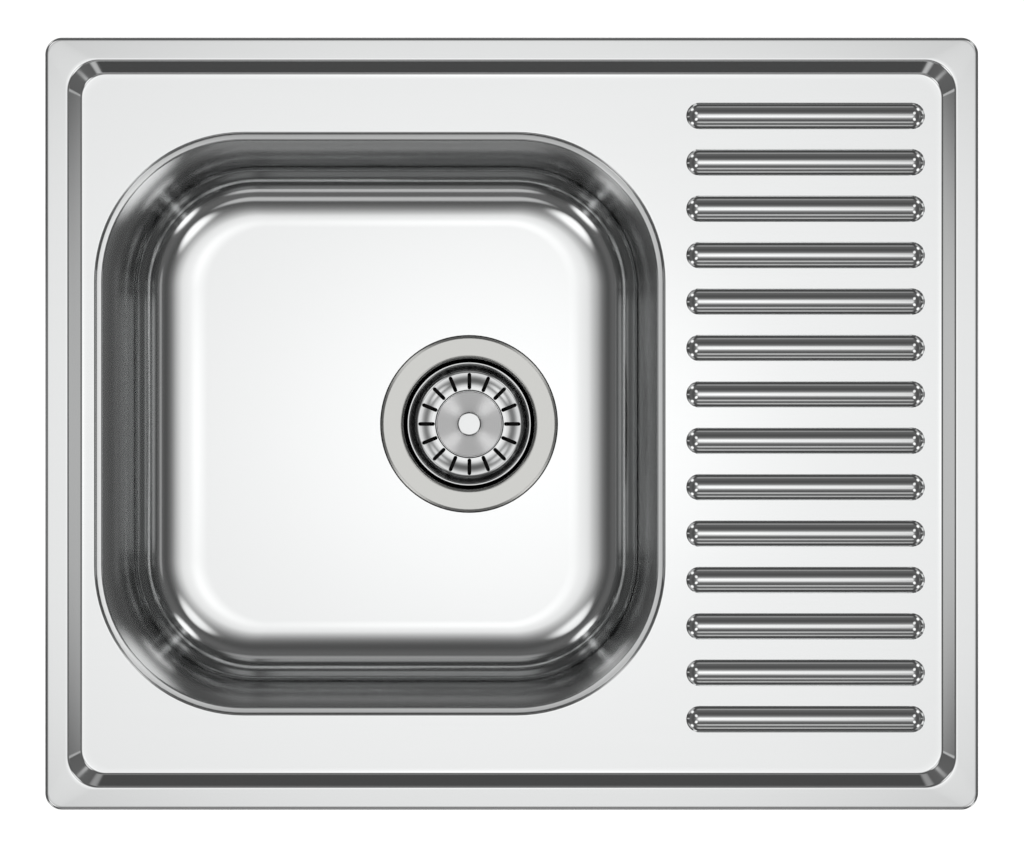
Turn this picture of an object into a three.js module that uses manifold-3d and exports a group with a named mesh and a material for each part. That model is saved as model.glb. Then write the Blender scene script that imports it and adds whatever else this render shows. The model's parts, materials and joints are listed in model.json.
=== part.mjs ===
// Kitchen sink with drainboard: a pressed stainless deck with a rim, ribs and a welded bowl,
// its rim clamps and its basket strainer waste.
// Millimetres. +X points to the drainboard, +Y to the back, +Z up.
// The origin is the plan centre of the rim, level with the worktop that the rim sits on.

import * as THREE from 'three';
import { mergeVertices } from 'three/addons/utils/BufferGeometryUtils.js';
import Module from 'manifold-3d';

const wasm = await Module();
wasm.setup();

// ---------------------------------------------------------------- Driving dimensions

const SHEET = 0.8;                   // stainless sheet of the deck, bowl and strainer
const SEAT_GAP = 0.3;                // left between two pieces that rest on each other

// Rim: a flat band round the sink, turned down at its outer edge
const RIM_LENGTH = 580;
const RIM_DEPTH = 480;
const RIM_CORNER_RADIUS = 10.5;
const RIM_RISE = 6;                  // top of the rim above the worktop
const RIM_WIDTH = 14.3;              // outer edge to the top of the step
const RIM_EDGE_BEND = 1.5;
const CUTOUT_INSET = 10;             // outer edge of the rim to the edge of the worktop cut-out
const WORKTOP_THICKNESS = 38;

// Step: the slope from the rim down to the deck
const STEP_RUN = 7.6;
const STEP_DROP = 6.5;
const STEP_BEND = 1.2;               // length of sheet that each of its two bends takes up
const STEP_TOP_CORNER_RADIUS = 19;
const STEP_FOOT_CORNER_RADIUS = 16.5;

// Bowl
const BOWL_LENGTH = 356.5;           // opening, along X
const BOWL_END_MARGIN = 7.6;         // foot of the step to the bowl's edge, at the bowl's own end
const BOWL_SIDE_MARGIN = 36.1;       // foot of the step to the bowl's edge, at the front and back
const BOWL_CORNER_RADIUS = 93.5;
const BOWL_EDGE_RADIUS = 5;          // bend between the deck and the bowl's wall
const BOWL_COLLAR = 1;               // straight lip under that bend, down to the weld
const BOWL_DEPTH = 160;              // deck to floor
const BOWL_DRAFT_DEG = 3.5;          // slope of the wall
const BOWL_FLOOR_RADIUS = 34;        // bend between the wall and the floor

// Drainboard ribs, pressed up out of the deck
const RIB_GAP_TO_BOWL = 12.7;
const RIB_GAP_TO_STEP = 10.75;
const RIB_WIDTH = 16.5;
const RIB_HEIGHT = 3.6;
const RIB_SECTION_SHARES = [0, 0.35, 0.7, 0.96]; // of the height, where the rounded section is stepped
const RIB_PITCH = 28.9;
const RIB_BACK_MARGIN = 26.45;       // foot of the step to the centre of the rib at the back
const RIB_FRONT_MARGIN = 33;         // least distance left at the front

// Foam seal under the rim
const SEAL_INSET = 2.5;
const SEAL_WIDTH = 6.5;

// Sound-deadening pad under the bowl's floor
const PAD_THICKNESS = 2;
const PAD_END_MARGIN = 8;            // to the start of the floor bend
const PAD_SIDE_MARGIN = 35;
const PAD_DRAIN_MARGIN = 12;         // to the recess round the drain

// Rim clamps: a welded wire eyelet, a clip hooked over it and a screw through the clip
const CLAMP_END_DISTANCE_LONG = 110; // corner of the rim to a clamp on the front or back
const CLAMP_END_DISTANCE_SHORT = 100;
const EYELET_WIRE_RADIUS = 2;
const EYELET_STEP_CLEARANCE = 0.1;   // foot of the step to the wire
const EYELET_DROP = 7;               // underside of the deck to the bar's centre
const EYELET_SIDE_CLEARANCE = 1;     // clip to each leg of the eyelet
const CLIP_THICKNESS = 1.5;
const CLIP_WIDTH = 16;
const CLIP_HOOK_CLEARANCE = 0.65;
const CLIP_HOOK_SWEEP_DEG = 215;     // how far the hook goes round the bar
const CLIP_SLACK_FROM_CUTOUT = 3;    // cut-out to the middle of the clip's leg
const CLIP_BEND_RADIUS = 3;
const CLIP_TOE = 3.9;                // arm that runs on past the screw's axis
const CLIP_ARM_DROP = 14;            // underside of the worktop to the middle of the clip's arm
const CLIP_GRIP = 6;                 // cut-out to the screw's axis
const CLIP_BOSS_RADIUS = 3.9;
const CLIP_BOSS_HEIGHT = 4;
const CLIP_HANG_DEG = 23.4;          // its swing inwards from clamping to hanging by its own weight
const SCREW_RADIUS = 2.5;            // M5
const SCREW_CLEARANCE = 0.3;
const SCREW_LENGTH = 30;
const SCREW_POINT = 2;
const SCREW_HEAD_RADIUS = 4;
const SCREW_HEAD_HEIGHT = 3.5;

// Drain: a recess in the bowl's floor, off centre towards the drainboard
const DRAIN_GAP_TO_FLOOR_EDGE = 16.9;
const DRAIN_HOLE_RADIUS = 45;
const RECESS_SLOPE = 1.8;
const RECESS_CLEARANCE = 0.8;        // round the strainer's flange

// Strainer cup
const FLANGE_RADIUS = 58.4;
const FLANGE_BEVEL = 1.7;
const FLANGE_EDGE_DROP = 1;
const FLANGE_SINK = 0.2;             // top of the flange below the bowl's floor
const FLANGE_SEAL_THICKNESS = 1;
const FLANGE_SEAL_WIDTH = 9;
const CUP_MOUTH_RADIUS = 44.7;       // inner edge of the flat flange
const CUP_MOUTH_BEND = 1.4;
const LEDGE_DROP = 8.2;              // top of the flange to the ledge that carries the basket
const LEDGE_WIDTH = 2.4;
const LEDGE_SLOPE = 0.3;
const CUP_CONE_RUN = 3.2;            // by how much the cup narrows below its ledge
const CUP_FLOOR_BEND = 3.5;
const OUTLET_HOLE_COUNT = 6;
const OUTLET_HOLE_RADIUS = 5.6;
const OUTLET_RING_RADIUS = 17.5;
const DIMPLE_RADIUS = 8;
const DIMPLE_DEPTH = 3;

// Waste body below the bowl
const LOWER_SEAL_THICKNESS = 2;
const LOWER_SEAL_WIDTH = 7;
const BODY_WALL = 3;
const BODY_FLANGE_WIDTH = 6;
const BODY_FLANGE_THICKNESS = 4;
const BODY_CUP_CLEARANCE = 0.6;      // drain hole to the body's inner wall
const BODY_FLOOR_SPACE = 2;          // bottom of the cup to the start of the body's cone
const BODY_CONE_DROP = 12;
const OUTLET_BORE_RADIUS = 20;
const OUTLET_RADIUS = 23.9;          // 1 1/2 inch pipe thread
const OUTLET_LENGTH = 20;
const HUB_RADIUS = 8;
const HUB_LENGTH = 14;
const WEB_THICKNESS = 3;
const WEB_COUNT = 4;
const BOLT_RADIUS = 3;               // M6
const BOLT_CLEARANCE = 0.3;
const BOLT_HEAD_RADIUS = 5.6;
const BOLT_HEAD_HEIGHT = 2.6;
const INSERT_RADIUS = 5;
const INSERT_LENGTH = 8;

// Basket, its hub and its stopper
const BASKET_RIM_RADIUS = 41.2;
const BASKET_RIM_WIDTH = 1.7;
const BASKET_RIM_THICKNESS = 1.2;
const BASKET_DEPTH = 15.5;
const BASKET_FLOOR_RADIUS = 35.4;
const SLOT_COUNT = 16;
const SLOT_INNER_RADIUS = 23.1;
const SLOT_OUTER_RADIUS = 34.1;
const SLOT_WIDTH = 2.5;
const HUB_PLATE_RADIUS = 21.9;
const HUB_PLATE_THICKNESS = 1.2;
const HUB_SLEEVE_WALL = 3.4;
const HUB_RIVET_RADIUS = 9;
const HUB_RIVET_THICKNESS = 1.1;
const O_RING_SECTION_RADIUS = 0.8;
const O_RING_STEM_GAP = 0.1;
const STEM_RADIUS = 3;
const STEM_CLEARANCE = 0.3;
const STOPPER_TRAVEL = 7;
const STOPPER_PLATE_RADIUS = 16;
const STOPPER_PLATE_THICKNESS = 1.2;
const STOPPER_RADIUS = 26.5;
const STOPPER_THICKNESS = 3.2;
const STOPPER_CHAMFER = 0.8;
const STOPPER_PIN_RADIUS = 2;
const STOPPER_PIN_LENGTH = 2;
const KNOB_RADIUS = 7.9;
const KNOB_CAP_HEIGHT = 3;
const KNOB_CHAMFER = 0.75;
const KNOB_NECK_RADIUS = 5;
const KNOB_HEIGHT = 8;

// How finely curves are divided
const RIM_ARC_STEPS = 5;
const RIM_BEND_STEPS = 3;
const BOWL_ARC_STEPS = 8;
const COLLAR_BEND_STEPS = 4;
const FLOOR_ARC_STEPS = 5;
const RIB_END_STEPS = 4;
const SLOT_END_STEPS = 2;
const HOOK_STEPS = 6;
const ELBOW_STEPS = 3;
const LARGE_ROUND = 32;
const MEDIUM_ROUND = 16;
const SMALL_ROUND = 8;

// ---------------------------------------------------------------- Levels and places that follow

const DECK_TOP = RIM_RISE - STEP_DROP;
const DECK_UNDERSIDE = DECK_TOP - SHEET;
const STEP_FOOT_INSET = RIM_WIDTH + STEP_RUN;
const WELD_LEVEL = DECK_TOP - BOWL_EDGE_RADIUS - BOWL_COLLAR;
const FLOOR_TOP = DECK_TOP - BOWL_DEPTH;

const BOWL_LEFT = -RIM_LENGTH / 2 + STEP_FOOT_INSET + BOWL_END_MARGIN;
const BOWL_RIGHT = BOWL_LEFT + BOWL_LENGTH;
const BOWL_CENTRE_X = (BOWL_LEFT + BOWL_RIGHT) / 2;
const BOWL_HALF_LENGTH = BOWL_LENGTH / 2;
const BOWL_HALF_DEPTH = RIM_DEPTH / 2 - STEP_FOOT_INSET - BOWL_SIDE_MARGIN;

const DRAFT = THREE.MathUtils.degToRad(BOWL_DRAFT_DEG);
const WALL_FOOT_LEVEL = FLOOR_TOP + BOWL_FLOOR_RADIUS * (1 - Math.sin(DRAFT));
const WALL_FOOT_INSET = BOWL_EDGE_RADIUS + (WELD_LEVEL - WALL_FOOT_LEVEL) * Math.tan(DRAFT);
const FLOOR_INSET = WALL_FOOT_INSET + BOWL_FLOOR_RADIUS * Math.cos(DRAFT);

const RECESS_RADIUS = FLANGE_RADIUS + RECESS_CLEARANCE;
const DRAIN_X = BOWL_RIGHT - FLOOR_INSET - DRAIN_GAP_TO_FLOOR_EDGE - RECESS_SLOPE - RECESS_RADIUS;
const FLANGE_TOP = FLOOR_TOP - FLANGE_SINK;
const FLANGE_SEAL_TOP = FLANGE_TOP - SHEET - SEAT_GAP;
const RECESS_FLOOR = FLANGE_SEAL_TOP - FLANGE_SEAL_THICKNESS - SEAT_GAP;
const RECESS_UNDERSIDE = RECESS_FLOOR - SHEET;

const LEDGE_LEVEL = FLANGE_TOP - LEDGE_DROP;
const CUP_WALL_RADIUS = CUP_MOUTH_RADIUS - CUP_MOUTH_BEND;
const LEDGE_INNER_RADIUS = CUP_WALL_RADIUS - LEDGE_WIDTH;

const BASKET_RIM_UNDERSIDE = LEDGE_LEVEL + SEAT_GAP;
const BASKET_RIM_TOP = BASKET_RIM_UNDERSIDE + BASKET_RIM_THICKNESS;
const BASKET_FLOOR_TOP = BASKET_RIM_TOP - BASKET_DEPTH;
const BASKET_FLOOR_UNDERSIDE = BASKET_FLOOR_TOP - SHEET;
const HUB_PLATE_UNDERSIDE = BASKET_FLOOR_TOP + SEAT_GAP;
const HUB_PLATE_TOP = HUB_PLATE_UNDERSIDE + HUB_PLATE_THICKNESS;
const HUB_RIVET_TOP = BASKET_FLOOR_UNDERSIDE - SEAT_GAP;
const HUB_FOOT = HUB_RIVET_TOP - HUB_RIVET_THICKNESS;
const HUB_BORE_RADIUS = STEM_RADIUS + STEM_CLEARANCE;
const HUB_SLEEVE_RADIUS = HUB_BORE_RADIUS + HUB_SLEEVE_WALL;

const STOPPER_PLATE_TOP = HUB_FOOT - SEAT_GAP - STOPPER_TRAVEL;
const STOPPER_PLATE_UNDERSIDE = STOPPER_PLATE_TOP - STOPPER_PLATE_THICKNESS;
const STOPPER_TOP = STOPPER_PLATE_UNDERSIDE - SEAT_GAP;
const STOPPER_UNDERSIDE = STOPPER_TOP - STOPPER_THICKNESS;
const KNOB_UNDERSIDE = HUB_PLATE_TOP + SEAT_GAP;
const KNOB_TOP = KNOB_UNDERSIDE + KNOB_HEIGHT;

const CUP_FLOOR_TOP = STOPPER_UNDERSIDE - SEAT_GAP;
const CUP_FLOOR_RADIUS = LEDGE_INNER_RADIUS - CUP_CONE_RUN;
const DIMPLE_TOP = CUP_FLOOR_TOP - DIMPLE_DEPTH;
const DIMPLE_UNDERSIDE = DIMPLE_TOP - SHEET;
const BOLT_HEAD_UNDERSIDE = DIMPLE_TOP + SEAT_GAP;

const LOWER_SEAL_TOP = RECESS_UNDERSIDE - SEAT_GAP;
const BODY_TOP = LOWER_SEAL_TOP - LOWER_SEAL_THICKNESS - SEAT_GAP;
const BODY_BORE_RADIUS = DRAIN_HOLE_RADIUS + BODY_CUP_CLEARANCE;
const BODY_CONE_TOP = DIMPLE_UNDERSIDE - BODY_FLOOR_SPACE;
const OUTLET_TOP = BODY_CONE_TOP - BODY_CONE_DROP;
const OUTLET_END = OUTLET_TOP - OUTLET_LENGTH;
const HUB_TOP = DIMPLE_UNDERSIDE - SEAT_GAP;
const HUB_BOTTOM = HUB_TOP - HUB_LENGTH;
const INSERT_TOP = HUB_BOTTOM + INSERT_LENGTH;

const PIVOT_INSET = STEP_FOOT_INSET + EYELET_STEP_CLEARANCE + EYELET_WIRE_RADIUS;
const PIVOT_LEVEL = DECK_UNDERSIDE - EYELET_DROP;

// ---------------------------------------------------------------- Solids

const PULL = 1;                      // by how much a cutter reaches past the face that it opens

// A solid from a closed geometry, with its shared vertices merged and its faces pointing out.
function toSolid(geometry) {
  const bare = geometry.clone();
  bare.deleteAttribute('normal');
  bare.deleteAttribute('uv');
  const merged = mergeVertices(bare);
  const positions = merged.getAttribute('position').array;
  const corners = (index) => new THREE.Vector3().fromArray(positions, index * 3);
  const triangles = [];
  let volume = 0;
  for (let first = 0; first < merged.index.count; first += 3) {
    const [a, b, c] = merged.index.array.slice(first, first + 3);
    if (a === b || b === c || c === a) continue;
    triangles.push([a, b, c]);
    volume += corners(a).dot(corners(b).cross(corners(c)));
  }
  const facingOut = volume > 0 ? triangles : triangles.map(([a, b, c]) => [a, c, b]);
  return new wasm.Manifold(new wasm.Mesh({
    numProp: 3,
    vertProperties: new Float32Array(positions),
    triVerts: new Uint32Array(facingOut.flat()),
  }));
}

function toGeometry(solid) {
  const { vertProperties, triVerts } = solid.getMesh();
  const geometry = new THREE.BufferGeometry();
  geometry.setAttribute('position', new THREE.BufferAttribute(vertProperties, 3));
  geometry.setIndex(new THREE.BufferAttribute(triVerts, 1));
  geometry.computeVertexNormals();
  return geometry;
}

// A skin through rings of equally many points. The end rings are capped, or joined to each
// other where the section closes on itself.
function loft(rings, closesOnItself = false) {
  const count = rings[0].length;
  const index = [];
  const spans = closesOnItself ? rings.length : rings.length - 1;
  for (let ring = 0; ring < spans; ring++) {
    const here = ring * count;
    const there = ((ring + 1) % rings.length) * count;
    for (let i = 0; i < count; i++) {
      const j = (i + 1) % count;
      index.push(here + i, here + j, there + j, here + i, there + j, there + i);
    }
  }
  const last = (rings.length - 1) * count;
  for (let i = 1; i < count - 1 && !closesOnItself; i++) {
    index.push(0, i + 1, i, last, last + i, last + i + 1);
  }
  const geometry = new THREE.BufferGeometry().setFromPoints(rings.flat());
  geometry.setIndex(index);
  return toSolid(geometry);
}

// A solid of revolution about Z. points are [radius, level] and close on themselves.
function revolve(points, segments) {
  const profile = points.map(([radius, level]) => new THREE.Vector2(radius, level));
  profile.push(profile[0].clone());
  return toSolid(new THREE.LatheGeometry(profile, segments).rotateX(Math.PI / 2));
}

function disc(radius, bottom, top, segments) {
  return revolve([[0, bottom], [radius, bottom], [radius, top], [0, top]], segments);
}

function washer(innerRadius, outerRadius, bottom, top, segments) {
  const section = [[innerRadius, bottom], [outerRadius, bottom], [outerRadius, top], [innerRadius, top]];
  return revolve(section, segments);
}

// The run of points on the other face of a sheet, to the left of the run for a positive distance.
function otherFace(run, distance) {
  const left = (from, to) => new THREE.Vector2(from.y - to.y, to.x - from.x).normalize();
  return run.map((point, i) => {
    const before = i > 0 ? left(run[i - 1], point) : left(point, run[i + 1]);
    const after = i < run.length - 1 ? left(point, run[i + 1]) : before;
    const mitre = before.clone().add(after).normalize();
    return point.clone().addScaledVector(mitre, distance / mitre.dot(before));
  });
}

// The closed section of a sheet whose one face is the given run.
function sheetSection(run, distance) {
  return [...run, ...otherFace(run, distance).reverse()];
}

function run(...points) {
  return points.map(([x, y]) => new THREE.Vector2(x, y));
}

function arc(centreX, centreY, radius, fromDeg, toDeg, steps) {
  const from = THREE.MathUtils.degToRad(fromDeg);
  const to = THREE.MathUtils.degToRad(toDeg);
  const clockwise = toDeg < fromDeg;
  return new THREE.EllipseCurve(centreX, centreY, radius, radius, from, to, clockwise).getPoints(steps);
}

function roundedRectangle(centreX, halfLength, halfDepth, radius, level, steps) {
  const corners = [[1, 1], [-1, 1], [-1, -1], [1, -1]];
  return corners.flatMap(([sideX, sideY], quarter) => {
    const x = centreX + sideX * (halfLength - radius);
    const y = sideY * (halfDepth - radius);
    const points = arc(x, y, radius, quarter * 90, quarter * 90 + 90, steps);
    return points.map((point) => new THREE.Vector3(point.x, point.y, level));
  });
}

// ---------------------------------------------------------------- Outlines

// The corner radius changes from the rim's own to the step's two.
function rimCornerRadius(inset) {
  const { clamp, inverseLerp, lerp } = THREE.MathUtils;
  if (inset <= RIM_EDGE_BEND) return RIM_CORNER_RADIUS - inset;
  if (inset <= RIM_WIDTH) {
    const share = inverseLerp(RIM_EDGE_BEND, RIM_WIDTH, inset);
    return lerp(RIM_CORNER_RADIUS - RIM_EDGE_BEND, STEP_TOP_CORNER_RADIUS, share);
  }
  const share = clamp(inverseLerp(RIM_WIDTH, STEP_FOOT_INSET, inset), 0, 1);
  return lerp(STEP_TOP_CORNER_RADIUS, STEP_FOOT_CORNER_RADIUS, share);
}

function rimRing(inset, level) {
  const halfLength = RIM_LENGTH / 2 - inset;
  const halfDepth = RIM_DEPTH / 2 - inset;
  return roundedRectangle(0, halfLength, halfDepth, rimCornerRadius(inset), level, RIM_ARC_STEPS);
}

function bowlRing(inset, level) {
  const halfLength = BOWL_HALF_LENGTH - inset;
  const halfDepth = BOWL_HALF_DEPTH - inset;
  const radius = BOWL_CORNER_RADIUS - inset;
  return roundedRectangle(BOWL_CENTRE_X, halfLength, halfDepth, radius, level, BOWL_ARC_STEPS);
}

// ---------------------------------------------------------------- Deck panel

const DECK_LAP = 2;                  // flat that the rim's and the collar's sections take in

function rimSheet() {
  const bendCentreLevel = RIM_RISE - RIM_EDGE_BEND;
  const topBend = arc(RIM_EDGE_BEND, bendCentreLevel, RIM_EDGE_BEND, 180, 90, RIM_BEND_STEPS);
  const slope = Math.atan2(STEP_DROP, STEP_RUN);
  const bendRun = STEP_BEND * Math.cos(slope);
  const bendDrop = STEP_BEND * Math.sin(slope);
  const topFace = [
    ...run([0, SEAT_GAP]),
    ...topBend,
    ...run(
      [RIM_WIDTH - STEP_BEND / 2, RIM_RISE],
      [RIM_WIDTH + bendRun, RIM_RISE - bendDrop],
      [STEP_FOOT_INSET - bendRun, DECK_TOP + bendDrop],
      [STEP_FOOT_INSET, DECK_TOP],
      [STEP_FOOT_INSET + DECK_LAP, DECK_TOP],
    ),
  ];
  const section = sheetSection(topFace, -SHEET);
  return loft(section.map((point) => rimRing(point.x, point.y)), true);
}

function bowlCollar() {
  const bend = arc(0, DECK_TOP - BOWL_EDGE_RADIUS, BOWL_EDGE_RADIUS, 90, 0, COLLAR_BEND_STEPS);
  const topFace = [...run([-DECK_LAP, DECK_TOP]), ...bend, ...run([BOWL_EDGE_RADIUS, WELD_LEVEL])];
  const section = sheetSection(topFace, -SHEET);
  return loft(section.map((point) => bowlRing(point.x, point.y)), true);
}

function deckPlate() {
  const lap = DECK_LAP / 2;
  const plate = loft([
    rimRing(STEP_FOOT_INSET + lap, DECK_UNDERSIDE),
    rimRing(STEP_FOOT_INSET + lap, DECK_TOP),
  ]);
  const opening = loft([bowlRing(-lap, DECK_UNDERSIDE - PULL), bowlRing(-lap, DECK_TOP + PULL)]);
  return plate.subtract(opening);
}

// One rib's outside, or its hollow underside when thinnedBy is the sheet. Its section is a
// circle's segment, and its ends are round.
function ribSolid(centreY, thinnedBy, base) {
  const left = BOWL_RIGHT + RIB_GAP_TO_BOWL + RIB_WIDTH / 2;
  const right = RIM_LENGTH / 2 - STEP_FOOT_INSET - RIB_GAP_TO_STEP - RIB_WIDTH / 2;
  const crownRadius = ((RIB_WIDTH / 2) ** 2 + RIB_HEIGHT ** 2) / (2 * RIB_HEIGHT);
  const crownCentre = DECK_TOP + RIB_HEIGHT - crownRadius;
  const radius = crownRadius - thinnedBy;
  const halfWidthAt = (level) => Math.sqrt(radius ** 2 - (level - crownCentre) ** 2);
  const top = crownCentre + radius;
  const levels = RIB_SECTION_SHARES.map((share) => THREE.MathUtils.lerp(base, top, share));
  const ring = (halfWidth, level) => {
    const ends = [
      ...arc(right, centreY, halfWidth, -90, 90, RIB_END_STEPS),
      ...arc(left, centreY, halfWidth, 90, 270, RIB_END_STEPS),
    ];
    return ends.map((point) => new THREE.Vector3(point.x, point.y, level));
  };
  const rings = levels.map((level) => ring(halfWidthAt(level), level));
  return loft([ring(halfWidthAt(base), base - SHEET / 2), ...rings]);
}

function ribCentres() {
  const back = RIM_DEPTH / 2 - STEP_FOOT_INSET - RIB_BACK_MARGIN;
  const front = -RIM_DEPTH / 2 + STEP_FOOT_INSET + RIB_FRONT_MARGIN;
  const count = Math.floor((back - front) / RIB_PITCH) + 1;
  return Array.from({ length: count }, (_, i) => back - i * RIB_PITCH);
}

function deckPanel() {
  let panel = deckPlate().add(rimSheet()).add(bowlCollar());
  for (const centreY of ribCentres()) {
    panel = panel.add(ribSolid(centreY, 0, DECK_TOP)).subtract(ribSolid(centreY, SHEET, DECK_UNDERSIDE));
  }
  return panel;
}

// ---------------------------------------------------------------- Bowl, seal and pad

function bowl() {
  const floorBend = arc(
    FLOOR_INSET, FLOOR_TOP + BOWL_FLOOR_RADIUS, BOWL_FLOOR_RADIUS,
    180 + BOWL_DRAFT_DEG, 270, FLOOR_ARC_STEPS,
  );
  const inside = [...run([BOWL_EDGE_RADIUS, WELD_LEVEL - SEAT_GAP]), ...floorBend];
  const outside = otherFace(inside, -SHEET);
  outside[0].set(BOWL_EDGE_RADIUS - SHEET, WELD_LEVEL - SEAT_GAP);
  const block = loft(outside.map((point) => bowlRing(point.x, point.y)));
  const mouth = bowlRing(BOWL_EDGE_RADIUS, WELD_LEVEL + PULL);
  const hollow = loft([mouth, ...inside.map((point) => bowlRing(point.x, point.y))]);
  const recess = revolve([
    [0, RECESS_UNDERSIDE],
    [RECESS_RADIUS + SHEET, RECESS_UNDERSIDE],
    [RECESS_RADIUS + SHEET + RECESS_SLOPE, FLOOR_TOP - SHEET / 2],
    [0, FLOOR_TOP - SHEET / 2],
  ], LARGE_ROUND).translate([DRAIN_X, 0, 0]);
  const recessHollow = revolve([
    [0, RECESS_FLOOR],
    [RECESS_RADIUS, RECESS_FLOOR],
    [RECESS_RADIUS + RECESS_SLOPE, FLOOR_TOP],
    [RECESS_RADIUS + RECESS_SLOPE, FLOOR_TOP + PULL],
    [0, FLOOR_TOP + PULL],
  ], LARGE_ROUND).translate([DRAIN_X, 0, 0]);
  const hole = disc(DRAIN_HOLE_RADIUS, RECESS_UNDERSIDE - PULL, FLOOR_TOP, LARGE_ROUND)
    .translate([DRAIN_X, 0, 0]);
  return block.subtract(hollow).add(recess).subtract(recessHollow).subtract(hole);
}

function rimSeal() {
  const top = RIM_RISE - SHEET - SEAT_GAP;
  const section = run(
    [SEAL_INSET, 0],
    [SEAL_INSET + SEAL_WIDTH, 0],
    [SEAL_INSET + SEAL_WIDTH, top],
    [SEAL_INSET, top],
  );
  return loft(section.map((point) => rimRing(point.x, point.y)), true);
}

function soundPad() {
  const left = BOWL_LEFT + FLOOR_INSET + PAD_END_MARGIN;
  const right = DRAIN_X - RECESS_RADIUS - RECESS_SLOPE - PAD_DRAIN_MARGIN;
  const depth = 2 * (BOWL_HALF_DEPTH - FLOOR_INSET - PAD_SIDE_MARGIN);
  const top = FLOOR_TOP - SHEET - SEAT_GAP;
  const box = new THREE.BoxGeometry(right - left, depth, PAD_THICKNESS);
  return toSolid(box.translate((left + right) / 2, 0, top - PAD_THICKNESS / 2));
}

// ---------------------------------------------------------------- Rim clamps
// Each is drawn round its eyelet's bar, with +X to the worktop and the bar along Y, as it is
// when it clamps.

const CLIP_LEG_X = PIVOT_INSET - CUTOUT_INSET - CLIP_SLACK_FROM_CUTOUT;
const SCREW_X = PIVOT_INSET - CUTOUT_INSET + CLIP_GRIP;
const SCREW_TIP = -WORKTOP_THICKNESS - PIVOT_LEVEL;
const CLIP_ARM_LEVEL = SCREW_TIP - CLIP_ARM_DROP;

function eyelet() {
  const halfSpan = CLIP_WIDTH / 2 + EYELET_SIDE_CLEARANCE + EYELET_WIRE_RADIUS;
  const legTop = EYELET_DROP - SEAT_GAP;
  const bar = new THREE.CylinderGeometry(EYELET_WIRE_RADIUS, EYELET_WIRE_RADIUS, 2 * halfSpan, SMALL_ROUND);
  let wire = toSolid(bar);
  for (const side of [-1, 1]) {
    const leg = disc(EYELET_WIRE_RADIUS, 0, legTop, SMALL_ROUND);
    const elbow = toSolid(new THREE.SphereGeometry(EYELET_WIRE_RADIUS, SMALL_ROUND, SMALL_ROUND / 2));
    wire = wire.add(leg.add(elbow).translate([0, side * halfSpan, 0]));
  }
  return wire;
}

function clip() {
  const hookRadius = EYELET_WIRE_RADIUS + CLIP_HOOK_CLEARANCE + CLIP_THICKNESS / 2;
  const hook = arc(0, 0, hookRadius, CLIP_HOOK_SWEEP_DEG, 0, HOOK_STEPS);
  const elbow = arc(
    CLIP_LEG_X + CLIP_BEND_RADIUS, CLIP_ARM_LEVEL + CLIP_BEND_RADIUS, CLIP_BEND_RADIUS,
    180, 270, ELBOW_STEPS,
  );
  const shoulder = hookRadius + EYELET_WIRE_RADIUS;
  const middle = [
    ...hook,
    ...run([hookRadius, -hookRadius], [CLIP_LEG_X, -hookRadius - shoulder]),
    ...elbow,
    ...run([SCREW_X + CLIP_TOE, CLIP_ARM_LEVEL]),
  ];
  const section = sheetSection(otherFace(middle, CLIP_THICKNESS / 2), -CLIP_THICKNESS);
  const extrusion = { depth: CLIP_WIDTH, bevelEnabled: false };
  const strip = new THREE.ExtrudeGeometry(new THREE.Shape(section), extrusion);
  strip.rotateX(Math.PI / 2).translate(0, CLIP_WIDTH / 2, 0);
  const armTop = CLIP_ARM_LEVEL + CLIP_THICKNESS / 2;
  const bossFoot = CLIP_ARM_LEVEL - CLIP_THICKNESS / 2 - CLIP_BOSS_HEIGHT;
  const boss = disc(CLIP_BOSS_RADIUS, bossFoot, CLIP_ARM_LEVEL, SMALL_ROUND).translate([SCREW_X, 0, 0]);
  const thread = disc(SCREW_RADIUS + SCREW_CLEARANCE, bossFoot - PULL, armTop + PULL, SMALL_ROUND)
    .translate([SCREW_X, 0, 0]);
  return toSolid(strip).add(boss).subtract(thread);
}

function clipScrew() {
  const headTop = SCREW_TIP - SCREW_LENGTH;
  return revolve([
    [0, SCREW_TIP],
    [SCREW_RADIUS / 2, SCREW_TIP],
    [SCREW_RADIUS, SCREW_TIP - SCREW_POINT],
    [SCREW_RADIUS, headTop],
    [SCREW_HEAD_RADIUS, headTop],
    [SCREW_HEAD_RADIUS, headTop - SCREW_HEAD_HEIGHT],
    [0, headTop - SCREW_HEAD_HEIGHT],
  ], SMALL_ROUND).translate([SCREW_X, 0, 0]);
}

// ---------------------------------------------------------------- Strainer and waste
// Each is drawn round the drain's axis.

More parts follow.
